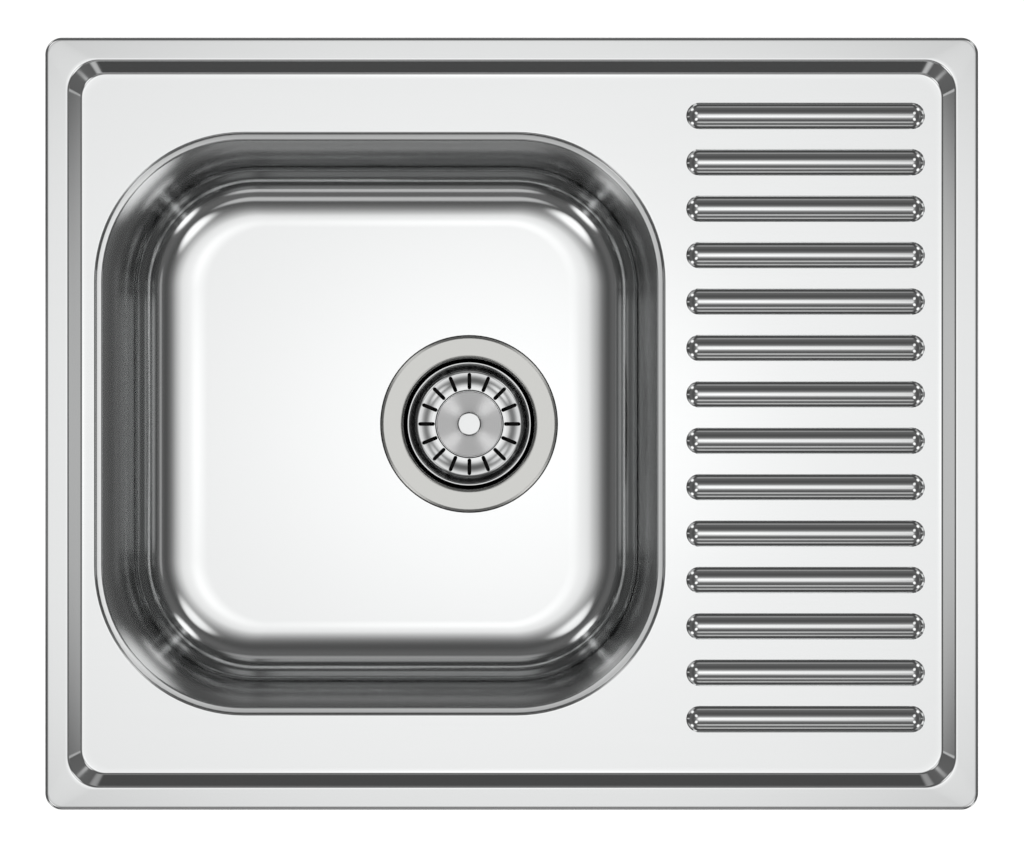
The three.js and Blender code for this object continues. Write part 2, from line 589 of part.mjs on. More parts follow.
function strainerCup() {
  const flangeFace = run(
    [FLANGE_RADIUS, FLANGE_TOP - FLANGE_EDGE_DROP],
    [FLANGE_RADIUS - FLANGE_BEVEL, FLANGE_TOP],
    [CUP_MOUTH_RADIUS, FLANGE_TOP],
  );
  const cupFace = run(
    [CUP_WALL_RADIUS, FLANGE_TOP - CUP_MOUTH_BEND],
    [CUP_WALL_RADIUS, LEDGE_LEVEL + LEDGE_SLOPE],
    [LEDGE_INNER_RADIUS, LEDGE_LEVEL],
    [CUP_FLOOR_RADIUS, CUP_FLOOR_TOP + CUP_FLOOR_BEND],
    [CUP_FLOOR_RADIUS - CUP_FLOOR_BEND, CUP_FLOOR_TOP],
    [DIMPLE_RADIUS, CUP_FLOOR_TOP],
    [DIMPLE_RADIUS, DIMPLE_TOP],
    [BOLT_RADIUS + BOLT_CLEARANCE, DIMPLE_TOP],
  );
  const section = sheetSection([...flangeFace, ...cupFace], SHEET);
  let cup = revolve(section.map((point) => [point.x, point.y]), LARGE_ROUND);
  for (let i = 0; i < OUTLET_HOLE_COUNT; i++) {
    const hole = disc(OUTLET_HOLE_RADIUS, CUP_FLOOR_TOP - SHEET - PULL, CUP_FLOOR_TOP + PULL, SMALL_ROUND)
      .translate([OUTLET_RING_RADIUS, 0, 0])
      .rotate([0, 0, (360 / OUTLET_HOLE_COUNT) * i]);
    cup = cup.subtract(hole);
  }
  return cup;
}

function flangeSeal() {
  const inner = DRAIN_HOLE_RADIUS;
  const bottom = RECESS_FLOOR + SEAT_GAP;
  return washer(inner, inner + FLANGE_SEAL_WIDTH, bottom, FLANGE_SEAL_TOP, LARGE_ROUND);
}

function lowerSeal() {
  const bottom = LOWER_SEAL_TOP - LOWER_SEAL_THICKNESS;
  return washer(BODY_BORE_RADIUS, BODY_BORE_RADIUS + LOWER_SEAL_WIDTH, bottom, LOWER_SEAL_TOP, LARGE_ROUND);
}

function wasteBody() {
  const shell = revolve([
    [BODY_BORE_RADIUS, BODY_TOP],
    [BODY_BORE_RADIUS, BODY_CONE_TOP],
    [OUTLET_BORE_RADIUS, OUTLET_TOP],
    [OUTLET_BORE_RADIUS, OUTLET_END],
    [OUTLET_RADIUS, OUTLET_END],
    [OUTLET_RADIUS, OUTLET_TOP - BODY_WALL],
    [BODY_BORE_RADIUS + BODY_WALL, BODY_CONE_TOP - BODY_WALL],
    [BODY_BORE_RADIUS + BODY_WALL, BODY_TOP - BODY_FLANGE_THICKNESS],
    [BODY_BORE_RADIUS + BODY_WALL + BODY_FLANGE_WIDTH, BODY_TOP - BODY_FLANGE_THICKNESS],
    [BODY_BORE_RADIUS + BODY_WALL + BODY_FLANGE_WIDTH, BODY_TOP],
  ], LARGE_ROUND);
  const hub = disc(HUB_RADIUS, HUB_BOTTOM, HUB_TOP, MEDIUM_ROUND);
  const boltHole = disc(BOLT_RADIUS + BOLT_CLEARANCE, HUB_BOTTOM - PULL, HUB_TOP + PULL, MEDIUM_ROUND);
  const pocket = disc(INSERT_RADIUS + SEAT_GAP, HUB_BOTTOM - PULL, INSERT_TOP + SEAT_GAP, MEDIUM_ROUND);
  const insideOfShell = revolve([
    [0, BODY_TOP],
    [BODY_BORE_RADIUS + BODY_WALL / 2, BODY_TOP],
    [BODY_BORE_RADIUS + BODY_WALL / 2, BODY_CONE_TOP],
    [OUTLET_BORE_RADIUS + BODY_WALL / 2, OUTLET_TOP],
    [OUTLET_BORE_RADIUS + BODY_WALL / 2, OUTLET_END],
    [0, OUTLET_END],
  ], LARGE_ROUND);
  const reach = BODY_BORE_RADIUS + BODY_WALL;
  let body = shell;
  for (let i = 0; i < WEB_COUNT; i++) {
    const web = new THREE.BoxGeometry(reach, WEB_THICKNESS, HUB_LENGTH);
    web.translate(reach / 2, 0, (HUB_TOP + HUB_BOTTOM) / 2);
    body = body.add(toSolid(web).rotate([0, 0, (360 / WEB_COUNT) * i]).intersect(insideOfShell));
  }
  return body.add(hub).subtract(boltHole).subtract(pocket);
}

function centreBolt() {
  const end = HUB_BOTTOM + SEAT_GAP;
  return revolve([
    [0, BOLT_HEAD_UNDERSIDE + BOLT_HEAD_HEIGHT],
    [BOLT_HEAD_RADIUS, BOLT_HEAD_UNDERSIDE + BOLT_HEAD_HEIGHT],
    [BOLT_HEAD_RADIUS, BOLT_HEAD_UNDERSIDE],
    [BOLT_RADIUS, BOLT_HEAD_UNDERSIDE],
    [BOLT_RADIUS, end],
    [0, end],
  ], MEDIUM_ROUND);
}

function insertNut() {
  return washer(BOLT_RADIUS + BOLT_CLEARANCE, INSERT_RADIUS, HUB_BOTTOM, INSERT_TOP, MEDIUM_ROUND);
}

// ---------------------------------------------------------------- Basket and stopper

function basket() {
  const rimInner = BASKET_RIM_RADIUS - BASKET_RIM_WIDTH;
  const holeRadius = HUB_SLEEVE_RADIUS + SEAT_GAP;
  const shell = revolve([
    [BASKET_RIM_RADIUS, BASKET_RIM_UNDERSIDE],
    [BASKET_RIM_RADIUS, BASKET_RIM_TOP],
    [rimInner, BASKET_RIM_TOP],
    [BASKET_FLOOR_RADIUS, BASKET_FLOOR_TOP],
    [holeRadius, BASKET_FLOOR_TOP],
    [holeRadius, BASKET_FLOOR_UNDERSIDE],
    [BASKET_FLOOR_RADIUS + SHEET / 2, BASKET_FLOOR_UNDERSIDE],
    [rimInner + SHEET, BASKET_RIM_UNDERSIDE],
  ], LARGE_ROUND);
  let slotted = shell;
  for (let i = 0; i < SLOT_COUNT; i++) {
    const halfWidth = SLOT_WIDTH / 2;
    const outline = new THREE.Shape([
      ...arc(SLOT_OUTER_RADIUS - halfWidth, 0, halfWidth, -90, 90, SLOT_END_STEPS),
      ...arc(SLOT_INNER_RADIUS + halfWidth, 0, halfWidth, 90, 270, SLOT_END_STEPS),
    ]);
    const extrusion = { depth: SHEET + 2 * PULL, bevelEnabled: false };
    const cutter = new THREE.ExtrudeGeometry(outline, extrusion);
    cutter.translate(0, 0, BASKET_FLOOR_UNDERSIDE - PULL);
    slotted = slotted.subtract(toSolid(cutter).rotate([0, 0, (360 / SLOT_COUNT) * i]));
  }
  return slotted;
}

function basketHub() {
  const grooveRadius = HUB_BORE_RADIUS + 2 * O_RING_SECTION_RADIUS;
  const grooveTop = HUB_PLATE_UNDERSIDE;
  const grooveFoot = grooveTop - 2 * O_RING_SECTION_RADIUS - SEAT_GAP;
  return revolve([
    [HUB_BORE_RADIUS, HUB_PLATE_TOP],
    [HUB_PLATE_RADIUS, HUB_PLATE_TOP],
    [HUB_PLATE_RADIUS, HUB_PLATE_UNDERSIDE],
    [HUB_SLEEVE_RADIUS, HUB_PLATE_UNDERSIDE],
    [HUB_SLEEVE_RADIUS, HUB_RIVET_TOP],
    [HUB_RIVET_RADIUS, HUB_RIVET_TOP],
    [HUB_RIVET_RADIUS, HUB_FOOT],
    [HUB_BORE_RADIUS, HUB_FOOT],
    [HUB_BORE_RADIUS, grooveFoot],
    [grooveRadius, grooveFoot],
    [grooveRadius, grooveTop],
    [HUB_BORE_RADIUS, grooveTop],
  ], MEDIUM_ROUND);
}

function stemRing() {
  const centreLevel = HUB_PLATE_UNDERSIDE - O_RING_SECTION_RADIUS - SEAT_GAP / 2;
  const centreRadius = STEM_RADIUS + O_RING_STEM_GAP + O_RING_SECTION_RADIUS;
  const circle = arc(centreRadius, centreLevel, O_RING_SECTION_RADIUS, 0, 360, SMALL_ROUND);
  const section = circle.slice(0, -1);
  return revolve(section.map((point) => [point.x, point.y]), MEDIUM_ROUND);
}

function stopperKnob() {
  const socketTop = KNOB_TOP - KNOB_CAP_HEIGHT;
  return revolve([
    [0, KNOB_TOP],
    [KNOB_RADIUS - KNOB_CHAMFER, KNOB_TOP],
    [KNOB_RADIUS, KNOB_TOP - KNOB_CHAMFER],
    [KNOB_RADIUS, socketTop],
    [KNOB_NECK_RADIUS, socketTop - KNOB_CHAMFER],
    [KNOB_NECK_RADIUS, KNOB_UNDERSIDE],
    [STEM_RADIUS + SEAT_GAP, KNOB_UNDERSIDE],
    [STEM_RADIUS + SEAT_GAP, socketTop],
    [0, socketTop],
  ], MEDIUM_ROUND);
}

function stopperStem() {
  const stemTop = KNOB_TOP - KNOB_CAP_HEIGHT - SEAT_GAP;
  return revolve([
    [0, stemTop],
    [STEM_RADIUS, stemTop],
    [STEM_RADIUS, STOPPER_PLATE_TOP],
    [STOPPER_PLATE_RADIUS, STOPPER_PLATE_TOP],
    [STOPPER_PLATE_RADIUS, STOPPER_PLATE_UNDERSIDE],
    [STOPPER_PIN_RADIUS, STOPPER_PLATE_UNDERSIDE],
    [STOPPER_PIN_RADIUS, STOPPER_PLATE_UNDERSIDE - STOPPER_PIN_LENGTH],
    [0, STOPPER_PLATE_UNDERSIDE - STOPPER_PIN_LENGTH],
  ], MEDIUM_ROUND);
}

function stopperDisc() {
  const pocketRadius = STOPPER_PIN_RADIUS + SEAT_GAP;
  const pocketFloor = STOPPER_PLATE_UNDERSIDE - STOPPER_PIN_LENGTH - SEAT_GAP;
  return revolve([
    [0, pocketFloor],
    [pocketRadius, pocketFloor],
    [pocketRadius, STOPPER_TOP],
    [STOPPER_RADIUS - STOPPER_CHAMFER, STOPPER_TOP],
    [STOPPER_RADIUS, STOPPER_TOP - STOPPER_CHAMFER],
    [STOPPER_RADIUS, STOPPER_UNDERSIDE],
    [0, STOPPER_UNDERSIDE],
  ], LARGE_ROUND);
}

// ---------------------------------------------------------------- Assembly

const steel = { color: 0xd4d6d8, roughness: 0.28, metalness: 1 };
const turnedSteel = { color: 0xcfd1d2, roughness: 0.35, metalness: 1 };
const zincSteel = { color: 0xb9bcc0, roughness: 0.4, metalness: 1 };
const brass = { color: 0xc9a24e, roughness: 0.35, metalness: 1 };
const foam = { color: 0x2b2c2e, roughness: 0.95, metalness: 0 };
const rubber = { color: 0x1d1e20, roughness: 0.8, metalness: 0 };
const bitumen = { color: 0x3a3b3d, roughness: 0.9, metalness: 0 };
const whitePlastic = { color: 0xe6e7e5, roughness: 0.5, metalness: 0 };

function piece(name, solid, finish) {
  const mesh = new THREE.Mesh(toGeometry(solid), new THREE.MeshStandardMaterial(finish));
  mesh.name = name;
  return mesh;
}

// One clamp, turned so that its +X points outwards from its side of the sink. Its clip hangs
// inside the worktop's cut-out, as it does before it is swung out and screwed tight.
function clamp(place, x, y, turnDeg) {
  const hanging = new THREE.Group();
  hanging.add(piece(`clip_${place}`, clip(), zincSteel));
  hanging.add(piece(`clip_screw_${place}`, clipScrew(), zincSteel));
  hanging.rotation.y = THREE.MathUtils.degToRad(CLIP_HANG_DEG);
  const group = new THREE.Group();
  group.add(piece(`eyelet_${place}`, eyelet(), steel));
  group.add(hanging);
  group.position.set(x, y, PIVOT_LEVEL);
  group.rotation.z = THREE.MathUtils.degToRad(turnDeg);
  return group;
}

function clamps() {
  const group = new THREE.Group();
  const sideX = RIM_LENGTH / 2 - PIVOT_INSET;
  const sideY = RIM_DEPTH / 2 - PIVOT_INSET;
  const alongX = RIM_LENGTH / 2 - CLAMP_END_DISTANCE_LONG;
  const alongY = RIM_DEPTH / 2 - CLAMP_END_DISTANCE_SHORT;
  group.add(clamp('right_back', sideX, alongY, 0));
  group.add(clamp('right_front', sideX, -alongY, 0));
  group.add(clamp('back_left', -alongX, sideY, 90));
  group.add(clamp('back_right', alongX, sideY, 90));
  group.add(clamp('left_back', -sideX, alongY, 180));
  group.add(clamp('left_front', -sideX, -alongY, 180));
  group.add(clamp('front_left', -alongX, -sideY, 270));
  group.add(clamp('front_right', alongX, -sideY, 270));
  return group;
}

function waste() {
  const group = new THREE.Group();
  group.add(piece('flange_seal', flangeSeal(), rubber));
  group.add(piece('strainer_cup', strainerCup(), steel));
  group.add(piece('lower_seal', lowerSeal(), rubber));
  group.add(piece('waste_body', wasteBody(), whitePlastic));
  group.add(piece('centre_bolt', centreBolt(), steel));
  group.add(piece('insert_nut', insertNut(), brass));
  group.position.x = DRAIN_X;
  return group;
}

function basketAndStopper() {
  const group = new THREE.Group();
  group.add(piece('basket', basket(), steel));
  group.add(piece('basket_hub', basketHub(), turnedSteel));
  group.add(piece('stem_o_ring', stemRing(), rubber));
  group.add(piece('stopper_knob', stopperKnob(), steel));
  group.add(piece('stopper_stem', stopperStem(), steel));
  group.add(piece('stopper_disc', stopperDisc(), rubber));
  group.position.x = DRAIN_X;
  return group;
}

const sink = new THREE.Group();
sink.add(piece('deck_panel', deckPanel(), steel));
sink.add(piece('bowl', bowl(), steel));
sink.add(piece('rim_seal', rimSeal(), foam));
sink.add(piece('sound_pad', soundPad(), bitumen));
sink.add(clamps());
sink.add(waste());
sink.add(basketAndStopper());

export default sink;
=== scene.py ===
import json
import math

import bmesh
import bpy
from mathutils import Matrix, Vector

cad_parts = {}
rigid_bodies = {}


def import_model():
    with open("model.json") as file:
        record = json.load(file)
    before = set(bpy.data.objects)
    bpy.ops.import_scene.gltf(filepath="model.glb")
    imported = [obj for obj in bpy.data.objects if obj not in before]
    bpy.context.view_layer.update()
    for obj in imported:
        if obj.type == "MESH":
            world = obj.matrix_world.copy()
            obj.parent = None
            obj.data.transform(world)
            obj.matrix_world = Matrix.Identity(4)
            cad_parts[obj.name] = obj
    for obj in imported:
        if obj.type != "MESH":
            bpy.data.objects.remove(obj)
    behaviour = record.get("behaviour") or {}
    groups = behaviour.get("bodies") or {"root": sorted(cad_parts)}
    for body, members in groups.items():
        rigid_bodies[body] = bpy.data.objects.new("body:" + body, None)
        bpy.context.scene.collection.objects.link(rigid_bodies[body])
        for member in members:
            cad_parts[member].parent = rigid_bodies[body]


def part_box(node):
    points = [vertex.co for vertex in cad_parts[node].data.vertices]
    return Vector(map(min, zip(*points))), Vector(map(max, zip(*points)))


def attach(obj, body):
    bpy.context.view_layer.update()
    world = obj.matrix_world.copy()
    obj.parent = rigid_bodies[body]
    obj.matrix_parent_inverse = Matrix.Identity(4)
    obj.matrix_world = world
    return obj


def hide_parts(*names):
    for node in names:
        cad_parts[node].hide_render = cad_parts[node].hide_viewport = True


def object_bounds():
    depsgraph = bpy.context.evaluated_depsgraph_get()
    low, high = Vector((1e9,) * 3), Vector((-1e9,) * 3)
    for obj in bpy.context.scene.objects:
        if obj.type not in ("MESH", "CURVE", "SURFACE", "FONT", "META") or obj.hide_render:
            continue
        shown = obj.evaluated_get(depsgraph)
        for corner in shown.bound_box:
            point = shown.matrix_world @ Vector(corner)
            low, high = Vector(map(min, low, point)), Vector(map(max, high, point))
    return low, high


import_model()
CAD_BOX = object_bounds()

bl_info = {
    "name": "Kitchen Sink with Drainboard",
    "version": (1, 0, 0),
    "blender": (4, 5, 0),
    "location": "3D View > Sidebar > Sink",
    "description": "Dresses the packed sink: pressed sheets, strainer, waste, clamps and their finishes",
    "category": "Add Mesh",
}

MM = 0.001
SEAM = 1e-6                       # vertices nearer than this are one
BRIDGE_LIFT = 0.05                # gap between two rings while they are bridged
SHALLOW = 0.00001                 # depth of the steel sheets' bump
BORE = 3.3                        # radius, in mm, of the holes for the centre bolt and the stem
SCREW_X = 20                      # from an eyelet's bar out to the screw's axis, in mm
SEAL_WIDTH = 6.5 * MM             # of the foam strip under the rim
CORNER_START = 1.5 * MM           # inset from which the rim's corner radius widens
CORNER_WIDENING = 0.78            # how much it widens for each unit of inset


# ------------------------------------------------------------ places taken from the frame

def ends(box, unit=1):
    """The low and high corners of a box, in metres or in the unit given."""
    return [Vector(corner) / unit for corner in box]


RIM_LOW, RIM_HIGH = ends(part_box("deck_panel"))
RIM_HALF_LENGTH = (RIM_HIGH.x - RIM_LOW.x) / 2
RIM_HALF_DEPTH = (RIM_HIGH.y - RIM_LOW.y) / 2
CUP_LOW, CUP_HIGH = ends(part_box("strainer_cup"))
DRAIN = Vector(((CUP_LOW.x + CUP_HIGH.x) / 2, (CUP_LOW.y + CUP_HIGH.y) / 2, 0))
FLANGE_TOP = CUP_HIGH.z
CUP_BOTTOM = CUP_LOW.z

CLAMP_TURNS = {                   # which way each clamp faces, in degrees from +X
    "right_back": 0, "right_front": 0, "back_left": 90, "back_right": 90,
    "left_back": 180, "left_front": 180, "front_left": 270, "front_right": 270,
}


def clamp_pivot(place):
    """The middle of the eyelet's bar, which the clip hangs on."""
    low, high = ends(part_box(f"eyelet_{place}"))
    wire = bpy.context.scene.clamp_sizes.wire_radius
    return Vector(((low.x + high.x) / 2, (low.y + high.y) / 2, low.z + wire))


# ------------------------------------------------------------ sizes and colours

def length(description, millimetres):
    """A size that a user may change, given here in millimetres."""
    return bpy.props.FloatProperty(
        description=description, default=millimetres * MM, unit="LENGTH", subtype="DISTANCE", precision=5)


def angle(description, degrees):
    """An angle that a user may change, given here in degrees."""
    return bpy.props.FloatProperty(
        description=description, default=math.radians(degrees), unit="ROTATION", subtype="ANGLE")


def linear(hex_value):
    """The linear colour of an sRGB hex value."""
    channels = [int(hex_value[i:i + 2], 16) / 255 for i in (0, 2, 4)]
    return tuple(c / 12.92 if c <= 0.04045 else ((c + 0.055) / 1.055) ** 2.4 for c in channels)


def colour(description, hex_value):
    """A colour that a user may change, given here as an sRGB hex value."""
    return bpy.props.FloatVectorProperty(
        description=description, default=linear(hex_value), subtype="COLOR", size=3, min=0, max=1)


class SheetSizes(bpy.types.PropertyGroup):
    sheet: length("Thickness of the stainless sheet", 0.8)
    rim_corner: length("Outer corner radius of the rim", 10.5)
    rim_bend: length("Wide bend where the rim turns down", 2.6)
    rim_edge: length("Tight bend at the outer end of the wide one", 0.6)
    rim_foot: length("Lower edge of the turned-down rim above the worktop", 0.3)
    rim_width: length("Outer edge to the top of the step", 14.3)
    rim_fall: length("How much lower the rim is at its outer edge", 0.22)
    step_run: length("Plan width of the step", 7.6)
    step_drop: length("Rim to deck", 6.5)
    step_top_corner: length("Corner radius at the top of the step", 19)
    step_foot_corner: length("Corner radius at the foot of the step", 15.3)
    step_bend: length("Radius of the step's two bends", 2.2)
    foot_blend: length("Width of the shallow dish beside the step's foot", 3)


class BowlSizes(bpy.types.PropertyGroup):
    centre_x: length("Middle of the bowl along the sink", -82.25)
    half_length: length("Half the opening's length", 178.25)
    half_depth: length("Half the opening's depth", 182)
    corner: length("Corner radius of the opening", 93.5)
    lip_radius: length("Tight bend at the top of the bowl's edge", 1.7)
    lip_land: length("Narrow, nearly level band inside the lip", 2.4)
    mouth_radius: length("Bend that leads from the band into the wall", 1.3)
    weld_level: length("Level of the weld between deck and bowl", -6.5)
    draft: angle("Slope of the wall", 3.5)
    floor_radius: length("Bend between the wall and the floor", 31)
    floor_ease: length("How much wider the bend is where it meets the floor", 50)
    floor_extra: length("How much further in the floor starts along the sink", 7)
    floor_level: length("Level of the bowl's floor", -160.5)
    recess_radius: length("Radius of the recess round the strainer", 58.6)
    recess_slope: length("Plan width of the recess's slope", 0.2)
    recess_level: length("Level of the recess's floor", -163.1)
    drain_hole: length("Radius of the hole for the strainer", 45)


class RibSizes(bpy.types.PropertyGroup):
    count: bpy.props.IntProperty(description="Ribs on the drainboard", default=14, min=1)
    left: length("Left end of the ribs", 108.7)
    right: length("Right end of the ribs", 257.35)
    width: length("Width of a rib", 16.5)
    height: length("Height of a rib", 3.6)
    back: length("Centre line of the rib at the back", 191.65)
    pitch: length("Centre line to centre line", 28.9)


class StrainerSizes(bpy.types.PropertyGroup):
    flange_radius: length("Radius of the flange", 58.4)
    wall_radius: length("Inner radius of the cup", 43.3)
    ledge_drop: length("Flange to the ledge that carries the basket", 8.2)
    ledge_inner: length("Inner radius of the ledge", 40.9)
    cup_floor: length("Level of the cup's floor", -197.4)
    cup_floor_radius: length("Radius of the cup at its floor", 37.7)
    dimple_radius: length("Radius of the dimple for the bolt", 8)
    hole_radius: length("Radius of an outlet hole", 5.6)
    hole_ring: length("Radius on which the outlet holes lie", 17.5)
    basket_rim: length("Outer radius of the basket's rim", 41.2)
    basket_floor: length("Level of the basket's floor", -182.9)
    basket_floor_radius: length("Radius of the basket's flat floor", 36.2)
    slot_count: bpy.props.IntProperty(description="Slots in the basket's floor", default=16, min=3)
    slot_inner: length("Radius at which a slot starts", 23.1)
    slot_outer: length("Radius at which a slot ends", 34.1)
    slot_width: length("Width of a slot", 2.5)
    disc_radius: length("Radius of the turned disc in the basket", 21.9)
    knob_radius: length("Radius of the stopper's knob", 7.9)


class ClampSizes(bpy.types.PropertyGroup):
    wire_radius: length("Radius of an eyelet's wire", 2)
    strip: length("Thickness of a clip's strip", 1.5)
    clip_width: length("Width of a clip", 16)
    hang: angle("How far a clip hangs in from where it clamps", 23.4)
    screw_radius: length("Radius of a clip's screw", 2.5)
    thread_pitch: length("Pitch of the screw's thread", 0.8)


class Finishes(bpy.types.PropertyGroup):
    steel: colour("Sheet of the deck and bowl", "E6E7E7")
    strainer: colour("Flange and cup", "CDCDCA")
    basket: colour("Polished basket", "D2D3D3")
    turned: colour("Turned face of the basket's disc", "F6F6F6")
    zinc: colour("Zinc plate on the clamps", "B9BEC4")
    brass: colour("Threaded insert", "C9A24E")
    foam: colour("Strip under the rim", "2E2F31")
    rubber: colour("Seals and stopper", "1D1E20")
    bitumen: colour("Pad under the bowl", "3A3B3D")
    plastic: colour("Waste body", "E8E9E6")
    floor: colour("Pale floor of the studio", "F7F7F6")


class StageSettings(bpy.types.PropertyGroup):
    camera_height: length("Camera above the rim", 2500)
    view_width: length("Width of the view at the rim", 636.1)
    camera_x: length("Camera beside the sink's centre", 0.16)
    camera_y: length("Camera in front of the sink's centre", -2.7)
    floor_gap: length("Outlet to the floor", 0.3)


# ------------------------------------------------------------ hand tools

def hold(*pieces):
    """Take pieces in hand: everything else is let go, the last one is active."""
    if bpy.context.object and bpy.context.object.mode != "OBJECT":
        bpy.ops.object.mode_set(mode="OBJECT")
    bpy.ops.object.select_all(action="DESELECT")
    for piece in pieces:
        piece.select_set(True)
        bpy.context.view_layer.objects.active = piece


def take_all():
    """Select the whole piece, in edit mode."""
    bpy.ops.mesh.select_all(action="SELECT")


def merge_seams():
    """Make one vertex of those that lie on each other."""
    bpy.ops.mesh.remove_doubles(threshold=SEAM)


def pull(kind, way):
    """Extrude the selected region or edges along a vector."""
    getattr(bpy.ops.mesh, f"extrude_{kind}_move")(TRANSFORM_OT_translate={"value": way})


def start(name):
    """Lay a unit plane at the origin as a new piece, opened for editing and all selected."""
    hold()
    bpy.ops.mesh.primitive_plane_add(size=1)
    piece = bpy.context.object
    piece.name = piece.data.name = name
    bpy.ops.object.mode_set(mode="EDIT")
    bpy.ops.mesh.select_mode(type="VERT")
    take_all()
    return piece


def block(name, size, foot):
    """A block over the middle of its foot, opened for editing."""
    piece = start(name)
    bpy.ops.transform.resize(value=(size[0], size[1], 1), center_override=(0, 0, 0))
    bpy.ops.transform.translate(value=foot)
    pull("region", (0, 0, size[2]))
    return piece


def choose(piece, kind, test):
    """Select only the vertices, edges or faces that pass the test."""
    bpy.ops.mesh.select_mode(type=kind)
    bpy.ops.mesh.select_all(action="DESELECT")
    mesh = bmesh.from_edit_mesh(piece.data)
    elements = {"VERT": mesh.verts, "EDGE": mesh.edges, "FACE": mesh.faces}[kind]
    for element in elements:
        if test(element):
            element.select_set(True)
    mesh.select_flush_mode()
    bmesh.update_edit_mesh(piece.data)


def round_corners(half_length, half_depth, radius, centre, steps):
    """Give the selected unit plane its size and place, and round its corners."""
    bpy.ops.transform.resize(value=(2 * half_length, 2 * half_depth, 1), center_override=(0, 0, 0))
    bpy.ops.transform.translate(value=centre)
    bpy.ops.mesh.bevel(
        affect="VERTICES", offset_type="OFFSET", offset=min(radius, half_depth * 0.99999),
        segments=steps, profile=0.5, clamp_overlap=False)


def number_ring(piece, number):
    """Remember the selected vertices as one ring."""
    mesh = bmesh.from_edit_mesh(piece.data)
    layer = mesh.verts.layers.int.get("ring") or mesh.verts.layers.int.new("ring")
    for vertex in mesh.verts:
        if vertex.select:
            vertex[layer] = number


def bridge_rings(piece, one, other):
    """Bridge two remembered rings."""
    mesh = bmesh.from_edit_mesh(piece.data)
    layer = mesh.verts.layers.int["ring"]
    choose(piece, "EDGE", lambda edge: edge.verts[0][layer] == edge.verts[1][layer]
           and edge.verts[0][layer] in (one, other))
    bpy.ops.mesh.bridge_edge_loops(type="SINGLE")


def choose_ring(piece, number):
    """Select only one remembered ring."""
    layer = bmesh.from_edit_mesh(piece.data).verts.layers.int["ring"]
    choose(piece, "VERT", lambda vertex: vertex[layer] == number)


def skin(piece, rings, first, steps, closes=False):
    """Lay a skin through rounded outlines, each (half length, half depth, radius, centre)."""
    for number, (half_length, half_depth, radius, centre) in enumerate(rings, first):
        if number == 1:
            take_all()
        else:
            bpy.ops.mesh.select_mode(type="VERT")
            bpy.ops.mesh.primitive_plane_add(size=1)
        # A ring is held above the last one while it is bridged, so that their vertices pair up.
        lift = Vector((0, 0, BRIDGE_LIFT if number > first else 0))
        round_corners(half_length, half_depth, radius, Vector(centre) + lift, steps)
        number_ring(piece, number)
        bpy.ops.mesh.delete(type="ONLY_FACE")
        if number > first:
            bridge_rings(piece, number - 1, number)
            choose_ring(piece, number)
            bpy.ops.transform.translate(value=-lift)
    last = first + len(rings) - 1
    if closes:
        bridge_rings(piece, last, first)
    return last


def forget_rings(piece):
    """Drop the ring numbers, which only the bridging needs."""
    mesh = bmesh.from_edit_mesh(piece.data)
    layer = mesh.verts.layers.int.get("ring")
    if layer:
        mesh.verts.layers.int.remove(layer)


def modify(piece, kind, **settings):
    """Add a modifier, set it and apply it."""
    hold(piece)
    bpy.ops.object.modifier_add(type=kind)
    modifier = piece.modifiers[-1]
    for key, value in settings.items():
        setattr(modifier, key, value)
    bpy.ops.object.modifier_apply(modifier=modifier.name)


def face_out(piece):
    """Merge doubles and turn the faces of a closed piece outwards."""
    take_all()
    merge_seams()
    bpy.ops.mesh.normals_make_consistent(inside=False)


def face_up(piece):
    """Merge doubles and turn an open sheet so that its largest face looks up."""
    face_out(piece)
    mesh = bmesh.from_edit_mesh(piece.data)
    if max(mesh.faces, key=lambda face: abs(face.normal.z) * face.calc_area()).normal.z < 0:
        bpy.ops.mesh.flip_normals()


def polish(piece, degrees=35):
    """Leave edit mode and shade smooth, except over sharp edges."""
    hold(piece)
    bpy.ops.object.shade_smooth_by_angle(angle=math.radians(degrees))


def softened(corners, steps=4, closes=True):
    """Points of a profile whose corners, (radius, level, setback) in mm, are rounded off."""
    points = []
    count = len(corners)
    for i, (x, z, setback) in enumerate(corners):
        corner = Vector((x, z))
        at_end = not closes and i in (0, count - 1)
        if setback == 0 or at_end:
            points.append(corner)
            continue
        before = Vector(corners[i - 1][:2]) - corner
        after = Vector(corners[(i + 1) % count][:2]) - corner
        start_point = corner + before.normalized() * setback
        end_point = corner + after.normalized() * setback
        # A point a little outside each end of the bend keeps the flat beside it flat.
        margin = setback * 1.15 + 0.05
        if before.length > margin + corners[i - 1][2] * 1.2 + 0.1:
            points.append(corner + before.normalized() * margin)
        for step in range(steps + 1):
            t = step / steps
            points.append(start_point * (1 - t) ** 2 + corner * 2 * t * (1 - t) + end_point * t ** 2)
        if after.length > margin + corners[(i + 1) % count][2] * 1.2 + 0.1:
            points.append(corner + after.normalized() * margin)
    if closes:
        points.append(points[0].copy())
    return [(point.x * MM, point.y * MM) for point in points]


def draw_line(points, across=(1, 0, 0), along=(0, 0, 1), centre=(0, 0, 0)):
    """Pull the selected geometry to one point and extrude it along a profile."""
    across, along, centre = Vector(across), Vector(along), Vector(centre)
    bpy.ops.mesh.merge(type="CENTER")
    place = [centre + across * a + along * b for a, b in points]
    bpy.ops.transform.translate(value=place[0])
    for here, there in zip(place, place[1:]):
        pull("region", there - here)


def turn_profile(points, centre, steps=96):
    """Extrude the profile and spin it round the upright axis through the centre."""
    draw_line(points, centre=centre)
    bpy.ops.mesh.select_linked()
    bpy.ops.mesh.spin(steps=steps, angle=2 * math.pi, center=centre, axis=(0, 0, 1))


